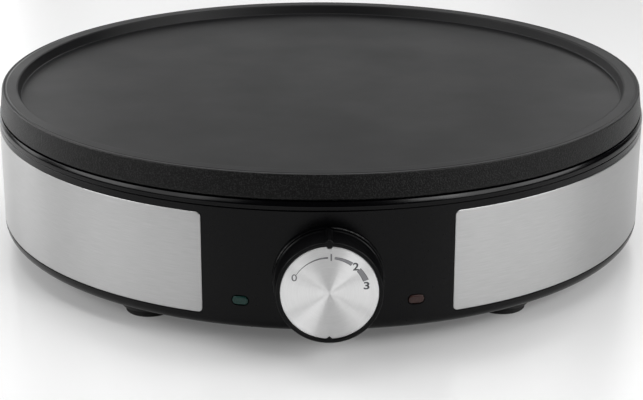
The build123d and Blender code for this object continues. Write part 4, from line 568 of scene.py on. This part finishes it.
# %% [markdown]
# ## The knob
# A hollow moulded cap with a skirt. A pointer rib runs along its top, and inside the front rim two teeth,
# above and below, bite into the metal disc, so that the disc can't turn on its own. The lathe's radius
# simply depends on the angle: the rib adds to the outer rows, the teeth take from the inner ones, and the
# bore is cut off flat where the spring clip lies.

# %% Knob cap
disc_low, disc_high = corners_of("knob_disc")
cap_low, cap_high = corners_of("knob_body")
AXIS = (0, 0, KNOB_AXIS_Z * 1000)
FRONT, REAR, SEAT, FACE = -cap_low[1], -cap_high[1], -disc_high[1], -disc_low[1]
DISC_RADIUS, SIDE_RADIUS, RIB_RADIUS, RIB_CIRCLE = 21.0, 22.75, 1.5, 22.4
BLUNT_DEPTH, BLUNT_HALF, POINT_DEPTH, POINT_HALF = 0.85, 1.15, 1.0, 1.25    # the teeth above and below

# The angles lie close together at the rib and the teeth, above and below
near = np.radians(np.linspace(-7, 7, 43))
far = np.radians(np.linspace(7, 173, 84))[1:-1]
knob_angles = np.concatenate([near, far, near + math.pi, far + math.pi, near[:1] + 2 * math.pi])


def teeth(angles, grow=0.0):
    """Depth in mm by which the rim bites inwards: a blunt tooth above, a pointed one below, plus grow."""
    across = np.abs(np.sin(angles)) * DISC_RADIUS
    blunt = BLUNT_DEPTH * np.clip(1.25 * (1 - (across / (BLUNT_HALF + grow)) ** 4), 0, 1)
    blunt = blunt + grow * (across < BLUNT_HALF + grow)
    sharp = (POINT_DEPTH + grow) * np.clip(1 - across / (POINT_HALF + grow), 0, 1)
    return np.where(np.cos(angles) > 0, blunt, sharp) * (np.abs(np.sin(angles)) < 0.1)


def rib(angles):
    """How far the rib's circle stands past the side: c cos a + sqrt(r^2 - (c sin a)^2) - side, or 0."""
    across = RIB_CIRCLE * np.sin(angles)
    inside = (np.abs(across) < RIB_RADIUS) & (np.cos(angles) > 0)
    reach = RIB_CIRCLE * np.abs(np.cos(angles)) + np.sqrt(np.where(inside, RIB_RADIUS ** 2 - across ** 2, 0))
    return np.where(inside, np.maximum(reach - SIDE_RADIUS, 0), 0)


BORE, BORE_FLAT, WALL, HUB, HUB_END = 3.05, 2.5, 1.8, 5.5, REAR + 0.5
SEAT_RADIUS, SKIRT_RADIUS, SKIRT_TOP, BEND = DISC_RADIUS + 0.1, 23.6, REAR + 1.4, 0.25
cap = rounded(
    [(0, SEAT), (SEAT_RADIUS, SEAT), (SEAT_RADIUS, FRONT), (SIDE_RADIUS, FRONT),
     (SKIRT_RADIUS - BEND, SKIRT_TOP + BEND), (SKIRT_RADIUS, SKIRT_TOP), (SKIRT_RADIUS, REAR),
     (SKIRT_RADIUS - WALL, REAR), (SEAT_RADIUS, SEAT - WALL), (HUB, SEAT - WALL), (HUB, HUB_END),
     (BORE, HUB_END), (BORE, SEAT - WALL), (0, SEAT - WALL)],
    [0, 0.1, 0.3, 0.5, 0.2, 0.15, 0.3, 0.2, 0.3, 0.5, 0.3, 0.2, 0.1, 0])
radius, reach = cap[:, :1] + 0 * knob_angles, cap[:, 1:] + 0 * knob_angles
outer = (radius > SIDE_RADIUS - 1.0) & (reach > SKIRT_TOP + 0.1)
inner = (np.abs(radius - SEAT_RADIUS) < 0.3) & (reach > SEAT - 0.2)
bore = np.abs(radius - BORE) < 0.25
flat = BORE_FLAT / np.maximum(np.cos(knob_angles), 0.3)
radius = radius + outer * rib(knob_angles) - inner * teeth(knob_angles)
radius = np.where(bore, np.minimum(radius, flat), radius)
piece("knob_cap", [grid(*turned(radius, reach, knob_angles, AXIS, (0, -1, 0)))], knob_plastic, "knob",
      ["knob_body"], 50.0)

# %% [markdown]
# ## The turned disc
# An aluminium blank, faced with a fine cut and bevelled with a diamond tool that leaves the edge bright all
# round. It is notched above and below for the cap's teeth. The bevel is a strip of its own finish.

# %% Knob disc
BEVEL, BEVEL_DROP, NOTCH_ROOM = 0.35, 0.2, 0.08


def disc_grid(profile):
    """Turns a profile of the disc, with the teeth's notches taken from the outer rows."""
    radius, reach = profile[:, :1] + 0 * knob_angles, profile[:, 1:] + 0 * knob_angles
    notched = DISC_RADIUS - teeth(knob_angles, NOTCH_ROOM) - (DISC_RADIUS - radius).clip(0, BEVEL)
    return grid(*turned(np.minimum(radius, notched), reach, knob_angles, AXIS, (0, -1, 0)))


face = np.stack([np.linspace(0, DISC_RADIUS - BEVEL, 25), np.full(25, FACE)], -1)
out = np.linspace(0, 1, 5)
bevel = np.stack([DISC_RADIUS - BEVEL * (1 - out), FACE - BEVEL_DROP * out ** 2], -1)
rear = np.array([(DISC_RADIUS, FACE - BEVEL_DROP), (DISC_RADIUS, SEAT), (0, SEAT)])
disc = piece("knob_face", [disc_grid(face), disc_grid(bevel), disc_grid(rear)], slot_finish["dial_metal"],
             "knob", ["knob_disc"], 12.0)
second_finish(disc, cut_edge, lambda x, y, z: (y > -FACE + 0.001) & (y < -FACE + BEVEL_DROP + 0.01) & (
    np.hypot(x, z - AXIS[2]) > DISC_RADIUS - 2.5))

# %% [markdown]
# ## The printed scale
# From off at 0 the scale swells to 3: a hairline, a band and a broad bar, with upright numerals between. The
# ribbons are strips about a curved line, given as radius, width and angle. The numerals are text, made a
# mesh, then scaled to their height in millimetres and moved to their place on the dial. The ink is a film
# 0.02 mm thick.

# %% Ribbons and numerals
PRINT_CENTRE = np.array([-0.1, AXIS[2] - 0.6])    # the print sits a little off the disc's centre
PRINT_RADIUS, FILM, LANE = 16.5, 0.02, 0.3
# Each ribbon's first and last angle in degrees, first and last width in mm, and how late it swells
RIBBONS = ((-57.0, -2.0, 0.22, 0.75, 1.6), (7.5, 35.0, 1.0, 1.7, 1.0), (48.0, 68.0, 2.2, 2.5, 1.0))
# Each numeral's angle in degrees, then radius, height and width in mm, the text's added weight, and its ink
FIGURES = {"0": (-62.5, 16.6, 3.1, 2.3, 0.005, thin_ink), "1": (2.6, 16.7, 3.1, 0.6, 0.0, thin_ink),
           "2": (41.5, 16.7, 3.5, 2.5, 0.024, ink), "3": (76.0, 16.1, 3.4, 2.4, 0.024, ink)}


def ribbon_grids(start, end, width_start, width_end, swell):
    """The ribbon's top in three lanes with the distance to the edge as v, its sides, back and ends."""
    share = np.linspace(0, 1, 41)[:, None]
    half = (width_start + (width_end - width_start) * share ** swell) / 2
    lane = np.minimum(LANE, half)
    offset = np.hstack([-half, -half + lane, half - lane, half, half, -half])
    inset = np.hstack([0 * half, lane, lane, 0 * half, 0 * half, 0 * half])
    film = np.array([FILM, FILM, FILM, FILM, 0, 0])
    angle = np.radians(start + (end - start) * share)
    radius = PRINT_RADIUS + offset
    points = np.stack([PRINT_CENTRE[0] + radius * np.sin(angle), -FACE - film + 0 * radius,
                       PRINT_CENTRE[1] + radius * np.cos(angle)], -1)
    uv = np.stack([0 * inset, inset], -1)
    caps = [grid(np.stack([points[k, :3], points[k, [5, 4, 3]]], 0)) for k in (0, -1)]
    return [grid(points, uv, loop=True)] + caps


def numeral(text, angle, radius, height, width, weight):
    """A text's mesh, scaled to height and width in mm, upright on the disc with its middle at an angle."""
    curve = bpy.data.curves.new("numeral_" + text, "FONT")
    curve.body = text
    curve.extrude = 0.02
    curve.offset = weight
    curve.resolution_u = 6
    holder = bpy.data.objects.new(curve.name, curve)
    scene.collection.objects.link(holder)
    bpy.context.view_layer.update()
    mesh = bpy.data.meshes.new_from_object(holder.evaluated_get(bpy.context.evaluated_depsgraph_get()))
    bpy.data.objects.remove(holder)
    place = np.zeros(len(mesh.vertices) * 3)
    mesh.vertices.foreach_get("co", place)
    place = place.reshape(-1, 3)
    small, large = place.min(0), place.max(0)
    place = (place - (small + large) / 2) / (large - small) * (width, height, FILM)
    angle = math.radians(angle)
    x = PRINT_CENTRE[0] + radius * math.sin(angle) + place[:, 0]
    z = PRINT_CENTRE[1] + radius * math.cos(angle) + place[:, 1]
    y = -FACE - FILM / 2 - place[:, 2]
    mesh.vertices.foreach_set("co", (np.stack([x, y, z], -1) / 1000).ravel())
    return mesh


scale_parts = [part for ribbon in RIBBONS for part in ribbon_grids(*ribbon)]
piece("dial_scale", scale_parts, ink, "knob", sharp=30.0)
for text, (*placing, shade) in FIGURES.items():
    mesh = numeral(text, *placing)
    mesh.uv_layers.new(name="UVMap").data.foreach_set("uv", np.zeros(2 * len(mesh.loops)))
    mesh.materials.clear()
    mesh.materials.append(shade)
    figure = bpy.data.objects.new("dial_figure_" + text, mesh)
    scene.collection.objects.link(figure)
    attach(figure, "knob")
print("figures placed", *FIGURES)

# %% [markdown]
# ## The lamp lenses
# Each lens is one moulding: a slot-shaped window with a low dome, a block behind the wall and a hollow barrel
# that takes the lamp. All its sections are rounded rectangles, the last ones with a corner radius so large
# that they are circles, so the whole lens is one stack of such outlines.

# %% Lenses
def outline(half_width, half_height, corner, steps=9):
    """Loops of a rounded rectangle: corner centre + r (cos t, sin t), a quarter turn at each corner."""
    angle = np.concatenate([np.linspace(0, 90, steps) + 90 * k for k in range(4)])
    turn = np.radians(angle)
    sign_x, sign_z = np.repeat([1, -1, -1, 1], steps), np.repeat([1, 1, -1, -1], steps)
    across = sign_x * (half_width - corner)[:, None] + corner[:, None] * np.cos(turn)
    up = sign_z * (half_height - corner)[:, None] + corner[:, None] * np.sin(turn)
    return across, up


# Half width, half height and corner radius of each section
WINDOW, BLOCK, BARREL, LAMP_BORE = (3.5, 1.85, 1.75), (5.5, 4.0, 0.5), (4.0, 4.0, 4.0), (3.05, 3.05, 3.05)
DOME, DOME_RISE = 0.9, 0.35
PROUD, SHOULDER = WALL_RADIUS + 0.3, WALL_RADIUS - 2.75
BLOCK_END, BARREL_END, BORE_END = SHOULDER - 6.2, SHOULDER - 12.2, SHOULDER - 1.6
LENS_ANGLE, LENS_HEIGHT = 13.7, 22.1
dome = []
for inset in DOME * (1 - np.sin(np.linspace(0, math.pi / 2, 8))):
    drop = DOME_RISE * (1 - math.sqrt(1 - (1 - inset / DOME) ** 2))
    dome.append((*(size - inset for size in WINDOW), PROUD - drop))
levels = np.array(
    [(WINDOW[0] - WINDOW[1], 0, 0, PROUD)] + dome + [
        (*WINDOW, SHOULDER), (*BLOCK, SHOULDER), (*BLOCK, BLOCK_END), (*BARREL, BLOCK_END),
        (*BARREL, BARREL_END), (*LAMP_BORE, BARREL_END), (*LAMP_BORE, BORE_END), (0, 0, 0, BORE_END)])
across, up = outline(*levels.T[:3])
for name, angle, slot in (("green_lens", -LENS_ANGLE, "green_tint"), ("red_lens", LENS_ANGLE, "red_tint")):
    turn = math.radians(angle)
    outward = levels[:, 3:] + 0 * across
    points = np.stack([outward * math.sin(turn) + across * math.cos(turn),
                       -outward * math.cos(turn) + across * math.sin(turn), LENS_HEIGHT + up], -1)
    piece(name + "_moulding", [grid(points, loop=True)], slot_finish[slot], "base", [name], 40.0)

# %% [markdown]
# ## The cord gland
# Where the mains cord enters at the back, a rubbery sleeve keeps it from kinking: a flange against the wall
# and a taper cut into ribs. Each groove is interrupted by two bridges, a quarter turn on from those of the
# last, so the sleeve bends but doesn't stretch.

# %% Gland with ribs
gland_low, gland_high = corners_of("cord_gland")
TIP, INLET = gland_high[1], (gland_low[2] + gland_high[2]) / 2
BOSS = TIP - 14.8    # the face of the wall that the flange lies on
THREAD_END, CORD_BORE, THREAD, FLANGE, TIP_RADIUS = BOSS - 13, 3.6, 6.5, 9.5, 6.2
PITCH, FIRST_GROOVE, GROOVES, GROOVE_CUT = 2.3, BOSS + 4.7, 4, 1.3
STEPS = 7    # points on each rounded corner
outside = rounded(
    [(CORD_BORE, THREAD_END), (THREAD, THREAD_END), (THREAD, BOSS), (FLANGE, BOSS), (FLANGE, BOSS + 2.6),
     (7.6, BOSS + 3.4), (TIP_RADIUS, TIP), (CORD_BORE, TIP)], [0.3, 0.3, 0.1, 0.5, 0.6, 0.4, 0.5, 0.4], STEPS)
gland_angles = np.linspace(0, 2 * math.pi, 97)
taper = np.stack([np.linspace(7.52, 6.27, 97), np.linspace(BOSS + 4.1, TIP - 0.55, 97)], -1)
profile = np.vstack([outside[:6 * STEPS], taper, outside[6 * STEPS:], outside[:1]])
radius, reach = profile[:, :1] + 0 * gland_angles, profile[:, 1:] + 0 * gland_angles
count = np.floor((reach - FIRST_GROOVE) / PITCH)
inside = (reach - FIRST_GROOVE) / PITCH - count
groove = np.clip(6 * (0.22 - np.abs(inside - 0.28)), 0, 1) * (count >= 0) * (count < GROOVES)
bridge = np.clip(4 * (np.abs(np.sin(gland_angles + count * math.pi / 2)) - 0.25), 0, 1)
radius = radius - GROOVE_CUT * groove * bridge * (radius > 5.5)
piece("gland_sleeve", [grid(*turned(radius, reach, gland_angles, (0, 0, INLET), (0, 1, 0)))],
      slot_finish["inner_plastic"], "base", ["cord_gland"], 40.0)

# %% [markdown]
# ## The floor and the light
# A white table and soft light from both sides and above are what such an object is pictured with. The lamps
# stay at a level at which a white surface comes out just white, and the table keeps the object's shadow.

# %% Floor, world and lamps
FAR = 6.0    # half the table's side, in metres
CLOUDS_PER_METRE = 3.0    # a table top is never one flat tone
TABLE_GLOW, ROOM_LIGHT = 0.11, 0.02
floor_mesh = bpy.data.meshes.new("floor")
floor_mesh.from_pydata([(-FAR, -FAR, 0), (FAR, -FAR, 0), (FAR, FAR, 0), (-FAR, FAR, 0)], [], [(0, 1, 2, 3)])
floor = bpy.data.objects.new("floor", floor_mesh)
scene.collection.objects.link(floor)
table, tree = new_material("white_table")
place = add(tree, "TexCoord").outputs["Object"]
cloud = add(tree, "TexNoise", {"Vector": place, "Scale": CLOUDS_PER_METRE})
tone = add(tree, "Mix", {"Factor": cloud, "A": "#d6d6d6", "B": "#d8d8d8"}, data_type="RGBA")
top = add(tree, "BsdfPrincipled", {"Base Color": tone, "Roughness": 0.3, "Specular IOR Level": 0.3})
# A faint glow that only eyes and mirrors see brings the lit table up to white
rays = add(tree, "LightPath").outputs
seen = add(tree, "Math", (rays["Is Camera Ray"], rays["Is Glossy Ray"]), operation="MAXIMUM")
seen = add(tree, "Math", (seen, rays["Is Transmission Ray"]), operation="MAXIMUM")
strength = add(tree, "MapRange", (seen, 0, 1, 0, TABLE_GLOW))
glow = add(tree, "Emission", {"Color": "#ffffff", "Strength": strength})
add(tree, "OutputMaterial", {"Surface": add(tree, "AddShader", (top, glow))})
floor_mesh.materials.append(table)

world = bpy.data.worlds.new("studio")
scene.world = world
world.use_nodes = True
tree = world.node_tree
tree.nodes.clear()
dim = add(tree, "Background", {"Color": "#ffffff", "Strength": ROOM_LIGHT})
add(tree, "OutputWorld", {"Surface": dim})


def softbox(name, location, target, size, power):
    """A rectangular area lamp at location, aimed at target; its local -Z axis is its beam."""
    light = bpy.data.lights.new(name, "AREA")
    light.shape = "RECTANGLE"
    light.size, light.size_y = size
    light.energy = power
    lamp = bpy.data.objects.new(name, light)
    lamp.location = location
    lamp.rotation_euler = (Vector(target) - Vector(location)).to_track_quat("-Z", "Y").to_euler()
    scene.collection.objects.link(lamp)


# Name, place, aim and size in metres, power in watts
for name, location, target, size, power in (
        ("left_front_box", (-1.1, -0.9, 0.7), (0, -0.2, 0.4), (0.6, 0.6), 3.2),
        ("left_middle_box", (-1.25, -0.25, 0.7), (0, -0.15, 0.4), (0.7, 0.6), 6.9),
        ("left_back_box", (-1.2, 0.5, 0.7), (0, 0, 0.4), (0.8, 0.6), 3.6),
        ("left_far_box", (-1.6, 0.9, 0.45), (0, 0, 0.1), (0.7, 0.5), 2.9),
        ("left_front_high_box", (-0.8, -1.0, 0.95), (0, -0.15, 0.1), (0.45, 0.45), 0.9),
        ("right_front_box", (1.1, -0.9, 0.7), (0, -0.2, 0.4), (0.6, 0.6), 5.5),
        ("right_middle_box", (1.25, -0.25, 0.7), (0, -0.15, 0.4), (0.7, 0.6), 7.3),
        ("right_front_high_box", (0.8, -1.0, 0.95), (0, -0.15, 0.1), (0.45, 0.45), 3.9),
        ("right_high_box", (0.62, -0.4, 1.2), (0, -0.05, 0.1), (0.8, 0.6), 1.7),
        ("left_top_box", (-0.55, 0.4, 1.4), (0, 0, 0.1), (0.6, 1.0), 7.3),
        ("middle_top_box", (0, 0.5, 1.4), (0, 0, 0.1), (0.7, 0.8), 0.8),
        ("right_top_box", (0.55, 0.4, 1.4), (0, 0, 0.1), (0.6, 1.0), 5.3),
        ("back_left_high_box", (-0.8, 1.6, 0.9), (0, 0, 0.1), (0.8, 0.5), 2.8),
        ("back_high_box", (0, 1.7, 0.9), (0, 0, 0.1), (0.6, 0.5), 0.5),
        ("back_right_high_box", (0.8, 1.6, 0.9), (0, 0, 0.1), (0.8, 0.5), 4.4),
        ("back_left_low_box", (-0.9, 1.75, 0.45), (0, 0, 0.1), (1.0, 0.5), 4.0),
        ("back_low_box", (0, 1.9, 0.45), (0, 0, 0.1), (0.7, 0.5), 0.8)):
    softbox(name, location, target, size, power)

# %% [markdown]
# ## Plain colours
# The Standard view shows each colour as it was written, with no film-like curve laid over it.

# %% The view
scene.view_settings.view_transform = "Standard"
print("view", scene.view_settings.view_transform)
